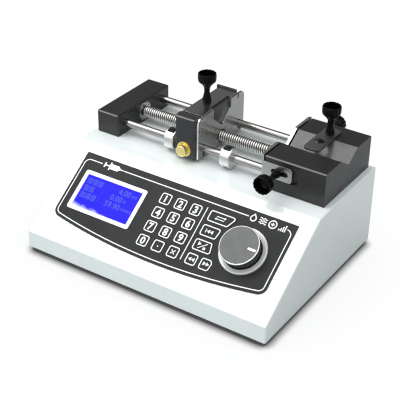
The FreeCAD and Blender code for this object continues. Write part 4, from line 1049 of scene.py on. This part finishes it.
def make_floor():
    """Pale floor with a barely visible grain. To the camera it is a white glow with a painted soft
    contact shadow, darkened by occlusion near the machine; other rays see it grey.
    """
    work = bmesh.new()
    half = 6.0
    work.faces.new([work.verts.new((*corner, 0)) for corner in box_outline(-half, half, -half, half)])
    mesh = to_mesh(work, "studio_floor")
    floor = bpy.data.objects.new("studio_floor", mesh)
    bpy.context.scene.collection.objects.link(floor)
    surface = Surface("studio_floor", (0.97, 0.97, 0.97), 0.9, Specular_IOR_Level=0.1)
    surface.vary(0.4, 0.01)
    seen = surface.node("ShaderNodeLightPath").outputs["Is Camera Ray"]
    surface.tint(surface.maths("SUBTRACT", 1.0, seen), (0.52, 0.54, 0.54))
    surface.tint(seen, (0.0, 0.0, 0.0))
    # Painted shadow: the camera's glow is darkened where nearby parts block the surroundings.
    contact = surface.openness(0.012, 0.45, 0.91, 0.11)
    around = surface.openness(0.10, 0.50, 0.95, 0.93)
    glow = surface.maths("MULTIPLY", surface.maths("POWER", contact, 1.2), around)
    surface.shader.inputs["Emission Color"].default_value = (0.995, 1.0, 1.0, 1)
    surface.join(surface.maths("MULTIPLY", glow, seen), surface.shader.inputs["Emission Strength"])
    mesh.materials.append(surface.material)


def area_light(name, place, target, size, power):
    lamp = bpy.data.lights.new(name, "AREA")
    lamp.shape = "RECTANGLE"
    lamp.size, lamp.size_y = size
    lamp.energy = power
    thing = bpy.data.objects.new(name, lamp)
    bpy.context.scene.collection.objects.link(thing)
    thing.location = place
    thing.rotation_euler = (Vector(target) - Vector(place)).to_track_quat("-Z", "Y").to_euler()


def sky_share(tree, source, start, end, low, high):
    """A smooth change of the sky's brightness along one axis of direction."""
    share = tree.nodes.new("ShaderNodeMapRange")
    share.interpolation_type = "SMOOTHSTEP"
    for key, value in (("From Min", start), ("From Max", end), ("To Min", low), ("To Max", high)):
        share.inputs[key].default_value = value
    tree.links.new(source, share.inputs["Value"])
    return share.outputs["Result"]


def make_sky():
    """A dome that is brightest overhead and in front, dimmer behind and around the viewer."""
    world = bpy.data.worlds.new("studio")
    bpy.context.scene.world = world
    world.use_nodes = True
    tree = world.node_tree
    background = tree.nodes["Background"]
    background.inputs["Color"].default_value = (0.97, 0.99, 1.0, 1)
    direction = tree.nodes.new("ShaderNodeTexCoord")
    parts = tree.nodes.new("ShaderNodeSeparateXYZ")
    tree.links.new(direction.outputs["Generated"], parts.inputs[0])
    up = sky_share(tree, parts.outputs["Z"], 0.0, 0.75, 0.35, 1.75)
    behind = sky_share(tree, parts.outputs["Y"], 0.0, 0.65, 1.0, 0.16)
    right = sky_share(tree, parts.outputs["X"], 0.1, 0.8, 1.0, 0.98)
    towards_viewer = (0.467, -0.711, 0.526)
    viewer = tree.nodes.new("ShaderNodeVectorMath")
    viewer.operation = "DOT_PRODUCT"
    viewer.inputs[1].default_value = towards_viewer
    tree.links.new(direction.outputs["Generated"], viewer.inputs[0])
    dark = sky_share(tree, viewer.outputs["Value"], 0.88, 0.97, 1.0, 0.5)
    total = up
    for share in (behind, right, dark):
        product = tree.nodes.new("ShaderNodeMath")
        product.operation = "MULTIPLY"
        tree.links.new(total, product.inputs[0])
        tree.links.new(share, product.inputs[1])
        total = product.outputs["Value"]
    tree.links.new(total, background.inputs["Strength"])


def make_lights():
    make_sky()
    target = (0, 0, 0.1)
    area_light("softbox", (-0.70, -0.27, 1.39), target, (0.8, 0.7), 7.7)
    area_light("front_fill", (-0.3, -1.6, 0.7), target, (1.4, 0.6), 1.4)


def make_camera():
    """A long lens that looks down on the keypad from the front right."""
    place = Vector((0.514, -0.7977, 0.6349))
    azimuth = math.radians(33.27)
    elevation = math.radians(31.71)
    roll = math.radians(0.74)
    forward = Vector((-math.sin(azimuth) * math.cos(elevation),
                      math.cos(azimuth) * math.cos(elevation), -math.sin(elevation)))
    lens = bpy.data.cameras.new("camera")
    lens.sensor_width = 36.0
    lens.angle = math.radians(20.67)
    lens.clip_start = 0.05
    camera = bpy.data.objects.new("camera", lens)
    bpy.context.scene.collection.objects.link(camera)
    camera.rotation_mode = "QUATERNION"
    level = forward.to_track_quat("-Z", "Y")
    camera.rotation_quaternion = level @ Matrix.Rotation(roll, 3, "Z").to_quaternion()
    camera.location = place
    bpy.context.scene.camera = camera


def make_picture_settings():
    settings = bpy.context.scene.view_settings
    settings.view_transform = "Standard"
    settings.look = "None"
    bpy.context.scene.cycles.use_denoising = True
    bpy.context.scene.cycles.filter_width = 1.25


finish_cad_nodes()
make_thumbscrews()
make_lead_screw()
make_release_button()
make_spring()
make_panel_print()
make_keys()
make_display()
make_rotary_knob()
make_floor()
make_lights()
make_camera()
make_picture_settings()
